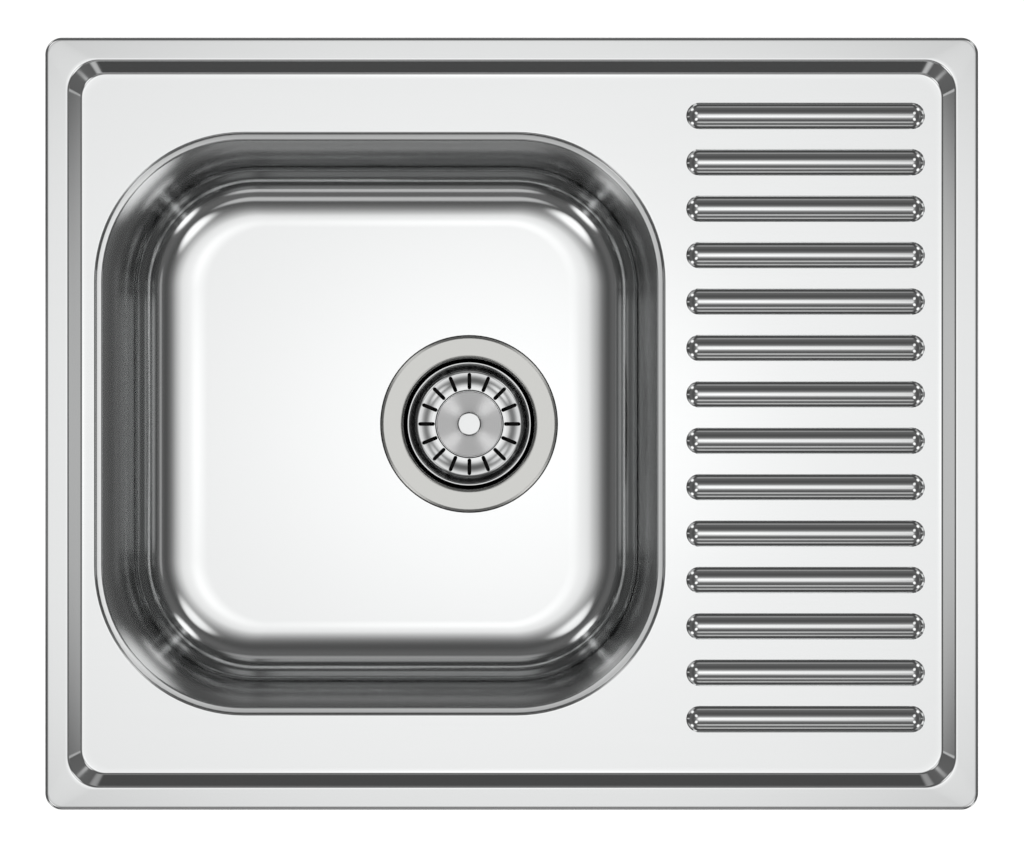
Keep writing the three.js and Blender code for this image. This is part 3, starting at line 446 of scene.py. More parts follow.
def turned(name, points, centre=DRAIN, steps=96, degrees=35):
    """A closed piece turned from one profile."""
    piece = start(name)
    turn_profile(points, centre, steps)
    face_out(piece)
    polish(piece, degrees)
    return piece


def cut(piece, cutter):
    """Take a cutter's space out of a piece."""
    hold(cutter)
    modify(piece, "BOOLEAN", operation="DIFFERENCE", solver="EXACT", object=cutter)
    bpy.data.objects.remove(cutter)


def join(name, *pieces):
    """Join pieces into one mesh, under one name."""
    hold(*pieces)
    bpy.ops.object.join()
    joined = bpy.context.object
    joined.name = joined.data.name = name
    return joined


def repeat_round(centre, count):
    """Copy what is selected, in edit mode, evenly round an upright axis."""
    for _ in range(count - 1):
        bpy.ops.mesh.duplicate()
        bpy.ops.transform.rotate(
            value=2 * math.pi / count, orient_axis="Z", center_override=centre)


def rod(name, radius, bottom, top, centre, vertices=32):
    """An upright rod, used as a cutter or a hub."""
    hold()
    bpy.ops.mesh.primitive_cylinder_add(vertices=vertices, radius=radius, depth=top - bottom)
    piece = bpy.context.object
    piece.name = piece.data.name = name
    bpy.ops.object.mode_set(mode="EDIT")
    take_all()
    bpy.ops.transform.translate(value=(centre[0], centre[1], (bottom + top) / 2))
    return piece


def settle(piece, body, slot, material, *nodes):
    """Give a piece its finish and its body, and hide the CAD nodes that it stands for."""
    hold(piece)
    piece.data.materials.clear()
    piece.data.materials.append(material)
    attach(piece, body)
    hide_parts(*nodes)


def place_copy(pattern, name, matrix):
    """Copy a finished pattern with its own mesh, put it in place and apply that."""
    copy = pattern.copy()
    copy.data = pattern.data.copy()
    bpy.context.collection.objects.link(copy)
    copy.name = copy.data.name = name
    hold(copy)
    copy.matrix_world = matrix
    bpy.ops.object.transform_apply(location=True, rotation=True, scale=True)
    return copy


# ------------------------------------------------------------ finishes

def add_node(tree, kind, settings=None, links=None):
    """Add a node, set its values and sockets, and link its inputs."""
    added = tree.nodes.new(kind)
    for key, value in (settings or {}).items():
        if key in added.inputs:
            added.inputs[key].default_value = value
        else:
            setattr(added, key, value)
    for key, source in (links or {}).items():
        tree.links.new(source, added.inputs[key])
    return added


def new_finish(name):
    """A material with its tree, its shader and its object coordinates."""
    material = bpy.data.materials.new(name)
    material.use_nodes = True
    tree = material.node_tree
    shader = tree.nodes["Principled BSDF"]
    coordinates = add_node(tree, "ShaderNodeTexCoord").outputs["Object"]
    return material, tree, shader, coordinates


def set_shader(shader, **values):
    """Set the shader's own sockets."""
    for key, value in values.items():
        shader.inputs[key.replace("_", " ")].default_value = value


def mottled(tree, shader, colour_value, pattern, spread):
    """Vary the base colour about its value by a small share."""
    mix = add_node(tree, "ShaderNodeMix", {"data_type": "RGBA"})
    mix.inputs["A"].default_value = (*[c * (1 - spread) for c in colour_value], 1)
    mix.inputs["B"].default_value = (*[min(1, c * (1 + spread)) for c in colour_value], 1)
    tree.links.new(pattern, mix.inputs["Factor"])
    tree.links.new(mix.outputs["Result"], shader.inputs["Base Color"])


def ramp(tree, factor, stops):
    """A smooth ramp of greys over (position, value) stops."""
    added = add_node(tree, "ShaderNodeValToRGB", links={"Fac": factor})
    band = added.color_ramp
    band.interpolation = "EASE"
    while len(band.elements) > 1:
        band.elements.remove(band.elements[-1])
    for i, (position, value) in enumerate(stops):
        element = band.elements[0] if i == 0 else band.elements.new(position)
        element.position = position
        element.color = (value, value, value, 1)
    return added.outputs["Color"]


def paint_shade_by_height(tree, shader, coordinates, bottom, top, stops):
    """Paint shade into the base colour by height, from the bottom (0) to the top (1) of a piece."""
    level = add_node(tree, "ShaderNodeSeparateXYZ", links={"Vector": coordinates}).outputs["Z"]
    share = add_node(tree, "ShaderNodeMapRange", {"From Min": bottom, "From Max": top}, {"Value": level})
    mix = add_node(tree, "ShaderNodeMix", {"data_type": "RGBA", "blend_type": "MULTIPLY"})
    mix.inputs["Factor"].default_value = 1
    tree.links.new(shader.inputs["Base Color"].links[0].from_socket, mix.inputs["A"])
    tree.links.new(ramp(tree, share.outputs["Result"], stops), mix.inputs["B"])
    tree.links.new(mix.outputs["Result"], shader.inputs["Base Color"])


def noise(tree, coordinates, scale, detail=2.0, roughness=0.5):
    """A cloudy pattern, with about as many patches to the metre as its scale."""
    return add_node(
        tree, "ShaderNodeTexNoise", {"Scale": scale, "Detail": detail, "Roughness": roughness},
        {"Vector": coordinates}).outputs["Fac"]


def bumped(tree, shader, height, strength, depth):
    """Raise the surface a little by a pattern."""
    bump = add_node(tree, "ShaderNodeBump", {"Strength": strength, "Distance": depth}, {"Height": height})
    tree.links.new(bump.outputs["Normal"], shader.inputs["Normal"])


def marks_round_drain(tree, coordinates, settings):
    """Ring marks round the drain's centre, 0.314 m apart at a scale of 1."""
    centred = add_node(
        tree, "ShaderNodeMapping", {"Location": (-DRAIN.x, -DRAIN.y, 0)}, {"Vector": coordinates})
    return add_node(
        tree, "ShaderNodeTexWave", {"wave_type": "RINGS", "rings_direction": "Z", **settings},
        {"Vector": centred.outputs["Vector"]}).outputs["Fac"]


def brushed_stainless():
    """AISI 304 sheet, belt-brushed along the sink: even, bright, with faint level lines."""
    material, tree, shader, coordinates = new_finish("brushed_stainless_sheet")
    # Belt grit leaves lines about 0.1 mm wide and 40 to 100 mm long; drawn 0.9 mm wide to show.
    stretched = add_node(tree, "ShaderNodeMapping", {"Scale": (14, 1100, 1100)}, {"Vector": coordinates})
    grain = noise(tree, stretched.outputs["Vector"], 1.0, roughness=0.6)
    mottled(tree, shader, bpy.context.scene.finishes.steel, grain, 0.012)
    bumped(tree, shader, grain, 0.015, SHALLOW)
    set_shader(shader, Metallic=1.0, Roughness=0.08)
    return material


def satin_stainless(name, paints_wall_shade=False):
    """The same sheet deep drawn and rubbed down by hand: no grain direction, a soft mirror."""
    material, tree, shader, coordinates = new_finish(name)
    # Orange peel of drawn sheet, about 2 mm across.
    peel = noise(tree, coordinates, 450.0, 1.0)
    mottled(tree, shader, bpy.context.scene.finishes.steel, peel, 0.008)
    bumped(tree, shader, peel, 0.001, SHALLOW)
    if paints_wall_shade:
        # Painted shade: the base colour is greyer from the wall up, matched to the photo, not a known
        # finish.
        low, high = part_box("bowl")
        paint_shade_by_height(tree, shader, coordinates, low[2], high[2], [(0, 1), (0.12, 1), (0.3, 0.72), (1, 0.72)])
    set_shader(shader, Metallic=1.0, Roughness=0.11)
    return material


def strainer_stainless():
    """Thin spun stainless with a fine satin lacquer look: a flatter, slightly warm grey."""
    material, tree, shader, coordinates = new_finish("spun_stainless_strainer_painted_shade")
    # Spinning marks, drawn about 1 mm apart.
    rings = marks_round_drain(
        tree, coordinates, {"Scale": 320.0, "Distortion": 1.0, "Detail": 2.0, "Detail Scale": 0.3})
    mottled(tree, shader, bpy.context.scene.finishes.strainer, rings, 0.015)
    # Painted shade: nearly black below the flange, matched to the photo's dark ring, not a known finish.
    paint_shade_by_height(tree, shader, coordinates, CUP_BOTTOM, FLANGE_TOP, [(0, 0.01), (0.94, 0.03), (0.985, 1)])
    set_shader(shader, Metallic=1.0, Roughness=0.2)
    return material


def polished_stainless(name, paints_wall_shade=False):
    """Electropolished steel: a clear mirror with sharp darks."""
    material, tree, shader, coordinates = new_finish(name)
    # Buffing haze in patches of about 5 mm.
    mottled(tree, shader, bpy.context.scene.finishes.basket, noise(tree, coordinates, 200.0), 0.01)
    if paints_wall_shade:
        # Painted shade: nearly black from floor to rim, matched to the photo's dark ring, not a known
        # finish.
        low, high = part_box("basket")
        paint_shade_by_height(tree, shader, coordinates, low[2], high[2],
               [(0, 1), (0.115, 1), (0.24, 0.15), (0.9, 0.06), (0.95, 1)])
    set_shader(shader, Metallic=1.0, Roughness=0.1)
    return material


def turned_stainless():
    """Face turned on the lathe: rings round the centre that throw windmill highlights."""
    material, tree, shader, coordinates = new_finish("turned_stainless_disc")
    # Tool feed of about 0.1 mm; drawn 1.2 mm apart to show.
    rings = marks_round_drain(tree, coordinates, {"Scale": 260.0, "Distortion": 0.4})
    mottled(tree, shader, bpy.context.scene.finishes.turned, rings, 0.02)
    across = add_node(tree, "ShaderNodeTangent", {"direction_type": "RADIAL", "axis": "Z"})
    tree.links.new(across.outputs["Tangent"], shader.inputs["Tangent"])
    set_shader(shader, Metallic=1.0, Roughness=0.32, Anisotropic=1.0, Anisotropic_Rotation=0.25)
    return material


def zinc_steel():
    """Pressed steel, bright zinc plated: cool grey with a faint cloudy bloom."""
    material, tree, shader, coordinates = new_finish("zinc_plated_steel")
    # Crystal bloom of the plate, about 4 mm across.
    bloom = noise(tree, coordinates, 260.0, 3.0)
    mottled(tree, shader, bpy.context.scene.finishes.zinc, bloom, 0.12)
    worn = add_node(tree, "ShaderNodeMapRange", {"To Min": 0.22, "To Max": 0.42}, {"Value": bloom})
    tree.links.new(worn.outputs["Result"], shader.inputs["Roughness"])
    set_shader(shader, Metallic=1.0)
    return material


def plain_finish(name, colour_value, roughness, scale, spread, depth, metallic=0.0, specular=0.5):
    """A moulded, foamed or cast finish: one colour, a grain of a real size and its bump."""
    material, tree, shader, coordinates = new_finish(name)
    grain = noise(tree, coordinates, scale, 3.0)
    mottled(tree, shader, colour_value, grain, spread)
    bumped(tree, shader, grain, 0.5, depth)
    set_shader(shader, Metallic=metallic, Roughness=roughness, Specular_IOR_Level=specular)
    return material


# ------------------------------------------------------------ pressed sheets

def slope_points(centre_a, centre_b, radius, from_deg, to_deg, steps):
    """Points of a bend, from one slope to another."""
    points = []
    for step in range(steps + 1):
        turn = math.radians(from_deg + (to_deg - from_deg) * step / steps)
        points.append((centre_a + radius * math.cos(turn), centre_b + radius * math.sin(turn)))
    return points


def mouth_profile(bowl, top):
    """The bowl's edge as (inset, level): a tight lip, a narrow band, then the bend to the wall."""
    lip_slope, band_slope = math.radians(58), math.radians(5)
    points = [(0, top)]
    for slope_from, slope_to, radius, steps in (
            (0, lip_slope, bowl.lip_radius, 6), (lip_slope, band_slope, bowl.lip_radius / 2, 4),
            (band_slope, band_slope, bowl.lip_land, 1),
            (band_slope, math.pi / 2 - bowl.draft, bowl.mouth_radius, 8)):
        for i in range(steps):
            middle = slope_from + (slope_to - slope_from) * (i + 0.5) / steps
            reach = radius * abs(slope_to - slope_from) / steps if steps > 1 else radius
            inset, level = points[-1]
            points.append((inset + reach * math.cos(middle), level - reach * math.sin(middle)))
    return points


def split_at(points, level):
    """A falling profile above and below a level, sharing one point on it."""
    for i in range(1, len(points)):
        (a, za), (b, zb) = points[i - 1], points[i]
        if zb < level:
            share = (za - level) / (za - zb)
            middle = (a + (b - a) * share, level)
            return points[:i] + [middle], [middle] + points[i:]
    return points, points[-1:]


def bowl_rings(bowl, points):
    """Outlines of the bowl at each (inset, level) or (inset, level, extra inset along the sink)."""
    return [(bowl.half_length - inset - sum(extra), bowl.half_depth - inset, bowl.corner - inset,
             (bowl.centre_x, 0, level)) for inset, level, *extra in points]


class SINK_OT_deck(bpy.types.Operator):
    """Press the deck: rim, step, ribs and the edge of the bowl's opening"""
    bl_idname = "sink.deck"
    bl_label = "Deck"

    def rim_rings(self, sheet):
        """Outlines of the rim and the step at each (inset, level, corner radius)."""
        top = RIM_HIGH.z
        deck = top - sheet.step_drop
        edge_top = top - sheet.rim_fall
        rings = [(0, sheet.rim_foot, sheet.rim_corner)]
        between = (sheet.rim_bend - sheet.rim_edge) * math.sqrt(0.5)
        bend_run, bend_level = sheet.rim_edge + between, edge_top - sheet.rim_bend
        bends = slope_points(sheet.rim_edge, bend_level + between, sheet.rim_edge, 180, 135, 4)
        bends += slope_points(bend_run, bend_level, sheet.rim_bend, 135, 90, 6)[1:]
        rings += [(a, z, sheet.rim_corner - a) for a, z in bends]
        bend_corner = sheet.rim_corner - bend_run
        slope = math.atan2(sheet.step_drop, sheet.step_run)
        tangent = sheet.step_bend * math.tan(slope / 2)
        rise = (top - edge_top) / (sheet.rim_width - tangent - bend_run)
        for inset in (bend_run + 0.5 * MM, sheet.rim_width - tangent - 0.8 * MM, sheet.rim_width - tangent):
            share = (inset - bend_run) / (sheet.rim_width - bend_run)
            rings.append((inset, edge_top + rise * (inset - bend_run),
                          bend_corner + (sheet.step_top_corner - bend_corner) * share))
        for i in range(1, 6):
            part = slope * i / 5
            rings.append((sheet.rim_width - tangent + sheet.step_bend * math.sin(part),
                          top - sheet.step_bend * (1 - math.cos(part)), sheet.step_top_corner))
        foot = sheet.rim_width + sheet.step_run
        dish = math.radians(2.2)
        foot_tangent = sheet.step_bend * math.tan((slope - dish) / 2)
        blend = sheet.foot_blend
        dish_rise = blend * math.tan(dish) / 2
        for i in range(0, 6):
            part = slope + (dish - slope) * i / 5
            drop = sheet.step_bend * (math.cos(dish) - math.cos(part))
            run = sheet.step_bend * (math.sin(part) - math.sin(dish))
            rings.append((foot + foot_tangent - run, deck + dish_rise + drop, sheet.step_foot_corner))
        for i in range(1, 6):
            share = i / 5
            inset = foot + foot_tangent + blend * share
            rings.append((inset, deck + dish_rise * (1 - share) ** 2, sheet.step_foot_corner))
        rings.append((foot + foot_tangent + blend + 0.5 * MM, deck, sheet.step_foot_corner))
        return [(RIM_HALF_LENGTH - inset, RIM_HALF_DEPTH - inset, corner, (0, 0, level))
                for inset, level, corner in rings]

    def rib_rings(self, rib, deck):
        """Outlines of the rib at the back, from the flat deck up to its crown."""
        half_width = rib.width / 2
        half_length = (rib.right - rib.left) / 2
        centre = ((rib.left + rib.right) / 2, rib.back, deck)
        radius = (half_width ** 2 + rib.height ** 2) / (2 * rib.height)
        edge = math.asin(half_width / radius)
        rings = [(half_length + 0.5 * MM, half_width + 0.5 * MM, half_width + 0.5 * MM, centre)]
        steps = 13
        for i in range(steps):
            slope = edge * (1 - i / steps)
            reach = radius * math.sin(slope)
            level = deck + rib.height - radius * (1 - math.cos(slope))
            rings.append((half_length - half_width + reach, reach, reach, (centre[0], centre[1], level)))
        return rings

    def execute(self, context):
        sheet, bowl, rib = context.scene.sheet_sizes, context.scene.bowl_sizes, context.scene.rib_sizes
        deck = RIM_HIGH.z - sheet.step_drop
        piece = start("deck_sheet")
        crown = skin(piece, self.rib_rings(rib, deck), 1, 10)
        choose_ring(piece, crown)
        bpy.ops.mesh.edge_face_add()
        take_all()
        merge_seams()
        for _ in range(rib.count - 1):
            bpy.ops.mesh.duplicate_move(TRANSFORM_OT_translate={"value": (0, -rib.pitch, 0)})
        last = skin(piece, self.rim_rings(sheet), 101, 16)
        collar, _ = split_at(mouth_profile(bowl, deck), bowl.weld_level)
        edge = [(-1.4 * MM, deck), (-0.3 * MM, deck), *collar]
        skin(piece, bowl_rings(bowl, edge), last + 101, 24)
        forget_rings(piece)
        choose(piece, "EDGE", lambda e: e.is_boundary and all(abs(v.co.z - deck) < SEAM for v in e.verts))
        bpy.ops.mesh.fill(use_beauty=True)
        face_up(piece)
        modify(piece, "SOLIDIFY", thickness=sheet.sheet, offset=-1, use_even_offset=True)
        polish(piece)
        settle(piece, "sink", "brushed_stainless", brushed_stainless(), "deck_panel")
        return {"FINISHED"}


class SINK_OT_bowl(bpy.types.Operator):
    """Draw the bowl, its floor and the recess for the strainer"""
    bl_idname = "sink.bowl"
    bl_label = "Bowl"

    def wall_and_floor(self, bowl, deck):
        """The bowl's inside as (inset, level), from the weld to the flat of the floor."""
        _, lead = split_at(mouth_profile(bowl, deck), bowl.weld_level)
        inset, level = lead[-1]
        foot_level = bowl.floor_level + bowl.floor_radius * (1 - math.sin(bowl.draft))
        foot_inset = inset + (level - foot_level) * math.tan(bowl.draft)
        points = list(lead)
        points += [(inset + (foot_inset - inset) * share, level + (foot_level - level) * share)
                   for share in (0.02, 0.5, 1)]
        # The bend eases out into the floor, further along the sink than across it.
        slope = math.pi / 2 - bowl.draft
        inset, level = points[-1][0], foot_level
        count = 40
        for i in range(count):
            next_slope = slope * (1 - (i + 1) / count)
            middle = slope * (1 - (i + 0.5) / count)
            radius = bowl.floor_radius + max(0, 1 - math.degrees(middle) / 14) * bowl.floor_ease
            reach = radius * slope / count
            inset, level = inset + reach * math.cos(middle), level - reach * math.sin(middle)
            share = max(0, 1 - math.degrees(next_slope) / 26) ** 2
            points.append((inset, level, bowl.floor_extra * share))
        points.append((points[-1][0] + 1.2 * MM, level, bowl.floor_extra))
        # What the easing leaves over is taken up evenly down the bend.
        rest = level - bowl.floor_level
        return [(p[0], p[1] - rest * min(1, max(0, (foot_level - p[1]) / (foot_level - level))), *p[2:])
                for p in points]

    def execute(self, context):
        sheet, bowl = context.scene.sheet_sizes, context.scene.bowl_sizes
        deck = RIM_HIGH.z - sheet.step_drop
        piece = start("bowl_shell")
        skin(piece, bowl_rings(bowl, self.wall_and_floor(bowl, deck)), 1, 24)
        forget_rings(piece)
        bpy.ops.mesh.select_mode(type="VERT")
        edge = bowl.recess_radius + bowl.recess_slope
        bpy.ops.mesh.primitive_circle_add(vertices=96, radius=edge + 1.6 * MM,
                                          location=(DRAIN.x, 0, bowl.floor_level))
        fall = bowl.recess_level - bowl.floor_level
        radius, level = edge + 1.6 * MM, bowl.floor_level
        for next_radius, next_level in (
                (edge + 0.15 * MM, bowl.floor_level), (edge, bowl.floor_level + 0.08 * fall),
                (bowl.recess_radius, bowl.recess_level - 0.08 * fall),
                (bowl.recess_radius - 0.2 * MM, bowl.recess_level),
                (bowl.recess_radius - 1.5 * MM, bowl.recess_level), (bowl.drain_hole, bowl.recess_level)):
            pull("edges", (0, 0, next_level - level))
            scale = next_radius / radius
            bpy.ops.transform.resize(value=(scale, scale, 1), center_override=(DRAIN.x, 0, next_level))
            radius, level = next_radius, next_level
        choose(piece, "EDGE", lambda e: e.is_boundary
               and all(abs(v.co.z - bowl.floor_level) < SEAM for v in e.verts))
        bpy.ops.mesh.fill(use_beauty=True)
        face_up(piece)
        modify(piece, "SOLIDIFY", thickness=sheet.sheet, offset=-1, use_even_offset=True)
        polish(piece)
        # Its finish has painted shade on the wall.
        settle(piece, "sink", "satin_stainless", satin_stainless("satin_stainless_bowl_painted_shade", paints_wall_shade=True),
               "bowl")
        return {"FINISHED"}


class SINK_OT_rim_seal(bpy.types.Operator):
    """Lay the foam strip under the rim and the deadening pad under the bowl"""
    bl_idname = "sink.rim_seal"
    bl_label = "Rim seal and pad"

    def execute(self, context):
        sheet = context.scene.sheet_sizes
        low, high = ends(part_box("rim_seal"))
        outer = RIM_HIGH.x - high.x
        inner = outer + SEAL_WIDTH
        bulge = 0.4 * MM
        section = [(outer, low.z + bulge), (outer + bulge, low.z), (inner - bulge, low.z),
                   (inner, low.z + bulge), (inner + bulge, (low.z + high.z) / 2), (inner, high.z),
                   (outer, high.z)]
        piece = start("foam_strip")
        # The strip's corner radius widens inwards, as the rim's own does.
        rings = [(RIM_HALF_LENGTH - inset, RIM_HALF_DEPTH - inset,
                  sheet.rim_corner - CORNER_START + (inset - CORNER_START) * CORNER_WIDENING, (0, 0, level))
                 for inset, level in section]
        skin(piece, rings, 1, 12, closes=True)
        forget_rings(piece)
        face_out(piece)
        polish(piece, 50)
        settle(piece, "sink", "foam",
               plain_finish("closed_cell_foam", context.scene.finishes.foam, 0.95, 1400, 0.35, 0.0003,
                            specular=0.2), "rim_seal")
        low, high = ends(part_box("sound_pad"))
        pad = start("deadening_pad")
        round_corners((high.x - low.x) / 2, (high.y - low.y) / 2, 10 * MM,
                      ((low.x + high.x) / 2, (low.y + high.y) / 2, low.z), 8)
        bpy.ops.mesh.inset(thickness=0.8 * MM, depth=0)
        choose(pad, "FACE", lambda face: True)
        pull("region", (0, 0, high.z + 0.3 * MM - low.z))
        face_out(pad)
        choose(pad, "EDGE", lambda e: len(e.link_faces) == 2 and e.calc_face_angle() > 1
               and e.verts[0].co.z < low.z + SEAM and e.verts[1].co.z < low.z + SEAM)
        bpy.ops.mesh.bevel(offset=0.5 * MM, segments=3, affect="EDGES")
        polish(pad, 40)
        settle(pad, "sink", "bitumen",
               plain_finish("bitumen_sheet", context.scene.finishes.bitumen, 0.85, 700, 0.2, 0.0003,
                            specular=0.25), "sound_pad")
        return {"FINISHED"}


# ------------------------------------------------------------ strainer

class SINK_OT_strainer_cup(bpy.types.Operator):
    """Spin the strainer's cup with its flange and pierce its outlet holes"""
    bl_idname = "sink.strainer_cup"
    bl_label = "Strainer cup"

    def execute(self, context):
        s = context.scene.strainer_sizes
        top, ledge, floor = FLANGE_TOP / MM, (FLANGE_TOP - s.ledge_drop) / MM, s.cup_floor / MM
        flange, wall = s.flange_radius / MM, s.wall_radius / MM
        inner, foot, dimple = s.ledge_inner / MM, s.cup_floor_radius / MM, s.dimple_radius / MM
        sheet = 0.8
        profile = softened([
            (flange, top - 1.0, 0.1), (flange - 0.15, top - 0.4, 0.2), (flange - 1.7, top, 0.3),
            (wall + 0.1, top, 2.2),
            (wall - 0.1, top - 5.0, 1.0), (inner, ledge - 1.2, 0.7),
            (foot, floor + 3.5, 2.2), (foot - 3.5, floor, 2.2), (dimple, floor, 0.6),
            (dimple, floor - 3.0, 0.6), (BORE, floor - 3.0, 0), (BORE, floor - 3.0 - sheet, 0),
            (dimple + sheet, floor - 3.0 - sheet, 0.6), (dimple + sheet, floor - sheet, 0.4),
            (foot - 3.2, floor - sheet, 2.2), (foot + sheet, floor + 3.1, 2.2),
            (inner + sheet, ledge - 1.5, 0.5), (wall - 0.1 + sheet, top - 5.3, 1.0),
            (wall + 0.1 + sheet, top - sheet, 2.3), (flange - 1.2, top - sheet, 0.5),
            (flange - 0.5, top - 1.6, 0.1)], steps=6)
        piece = turned("spun_cup", profile, steps=128)
        holes = rod("outlet_cutter", s.hole_radius, s.cup_floor - 2 * MM, s.cup_floor + 1 * MM,
                    (DRAIN.x + s.hole_ring, DRAIN.y), 24)
        repeat_round(DRAIN, 6)
        cut(piece, holes)
        polish(piece)
        settle(piece, "sink", "strainer_stainless", strainer_stainless(), "strainer_cup")
        return {"FINISHED"}


class SINK_OT_basket(bpy.types.Operator):
    """Press the basket, pierce its slots and rivet in the turned disc"""
    bl_idname = "sink.basket"
    bl_label = "Basket"

    def execute(self, context):
        s = context.scene.strainer_sizes
        rim, floor, flat = s.basket_rim / MM, s.basket_floor / MM, s.basket_floor_radius / MM
        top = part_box("basket")[1][2] / MM
        inside = rim - 1.7
        sheet = 0.8
        disc = s.disc_radius / MM
        # The disc sits in a shallow groove. The floor steps up where the slots lie, then bends up.
        step_foot, step_head, rise = flat - 9.5, flat - 4.5, 1.0
        profile = softened([
            (rim, top - 1.2, 0.3), (rim, top, 0.5), (inside, top, 0.8),
            (flat + 1.3, floor + 3.6, 2.2), (flat - 0.6, floor + rise + 0.1, 1.6),
            (step_head, floor + rise, 2.2), (step_foot, floor, 2.2), (disc + 0.9, floor, 0.2),
            (disc + 0.3, floor - 0.45, 0.1), (disc - 0.8, floor - 0.45, 0), (disc - 1.2, floor, 0),
            (7.0, floor, 0), (7.0, floor - sheet, 0), (step_foot, floor - sheet, 2.2),
            (step_head, floor + rise - sheet, 2.2), (flat + 0.1, floor + rise + 0.1 - sheet, 1.6),
            (flat + 1.3 + sheet, floor + 3.2, 2.2), (inside + sheet, top - 1.2, 0.2)], steps=6)
        piece = turned("pressed_basket", profile, steps=128)
        half_width = s.slot_width / 2
        middle, reach = (s.slot_inner + s.slot_outer) / 2, (s.slot_outer - s.slot_inner) / 2
        slots = start("slot_cutter")
        round_corners(reach, half_width, half_width,
                      (DRAIN.x + middle, DRAIN.y, s.basket_floor - 2 * MM), 6)
        merge_seams()
        pull("region", (0, 0, 6 * MM))
        take_all()
        repeat_round(DRAIN, s.slot_count)
        face_out(slots)
        cut(piece, slots)
        polish(piece, 40)
        settle(piece, "basket_unit", "polished_stainless",
               polished_stainless("polished_stainless_basket", paints_wall_shade=True), "basket")
        # Only the wall's inner face has the painted shade: the outer one keeps the polish.
        piece.data.materials.append(polished_stainless("polished_stainless_basket_outside"))
        for face in piece.data.polygons:
            outward = (face.center - DRAIN).to_2d()
            if outward.length > s.basket_floor_radius and face.normal.to_2d().dot(outward) > 0:
                face.material_index = 1

        low, high = ends(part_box("basket_hub"))
        foot, face = low.z / MM, high.z / MM
        plate = face - 1.2
        hub = turned("turned_disc", softened([
            (BORE, face, 0.1), (disc - 0.1, face, 0.5), (disc, plate, 0.15), (6.7, plate, 0),
            (6.7, foot + 1.1, 0), (9.0, foot + 1.1, 0.3), (9.0, foot, 0.3), (BORE, foot, 0),
            (BORE, plate - 1.9, 0), (4.9, plate - 1.9, 0), (4.9, plate, 0), (BORE, plate, 0)]), steps=96)
        settle(hub, "basket_unit", "turned_stainless", turned_stainless(), "basket_hub")
        return {"FINISHED"}


class SINK_OT_stopper(bpy.types.Operator):
    """Turn the stopper's knob and stem and mould its rubber disc"""
    bl_idname = "sink.stopper"
    bl_label = "Stopper"

    def execute(self, context):
        s = context.scene.strainer_sizes
        rubber = plain_finish("moulded_rubber", context.scene.finishes.rubber, 0.6, 900, 0.2, 0.00005,
                              specular=0.4)
        polished = polished_stainless("polished_stainless_turned")
        low, high = ends(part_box("stopper_knob"), MM)
        radius = s.knob_radius / MM
        knob = turned("turned_knob", softened([
            (0, high.z, 0), (radius, high.z - 0.03, 0.9), (radius, high.z - 3.0, 0.6),
            (5.0, high.z - 3.75, 0.6), (5.0, low.z, 0.3), (BORE, low.z, 0), (BORE, high.z - 3.0, 0),
            (0, high.z - 3.0, 0)], closes=False), steps=64)
        settle(knob, "stopper", "polished_stainless", polished, "stopper_knob")
        low, high = ends(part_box("stopper_stem"), MM)
        plate = low.z + 3.2
        stem = turned("stopper_rod", softened([
            (0, high.z, 0), (3.0, high.z, 0.3), (3.0, plate, 0.4), (16.0, plate, 0.4),
            (16.0, plate - 1.2, 0.3), (2.0, plate - 1.2, 0), (2.0, low.z, 0.3), (0, low.z, 0)],
            closes=False), steps=64)
        settle(stem, "stopper", "polished_stainless", polished, "stopper_stem")
        low, high = ends(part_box("stopper_disc"), MM)
        plug = turned("moulded_stopper", softened([
            (0, low.z + 0.9, 0), (2.3, low.z + 0.9, 0), (2.3, high.z, 0.2), (25.5, high.z, 0.5),
            (26.5, high.z - 0.9, 0.4), (26.5, low.z + 0.9, 0.4), (26.0, low.z, 0.5), (22.5, low.z, 0.4),
            (21.8, low.z + 0.5, 0.4), (18.0, low.z + 0.5, 0.4), (17.0, low.z, 0.4), (0, low.z, 0)],
            closes=False), steps=64)
        settle(plug, "stopper", "black_rubber", rubber, "stopper_disc")
        return {"FINISHED"}


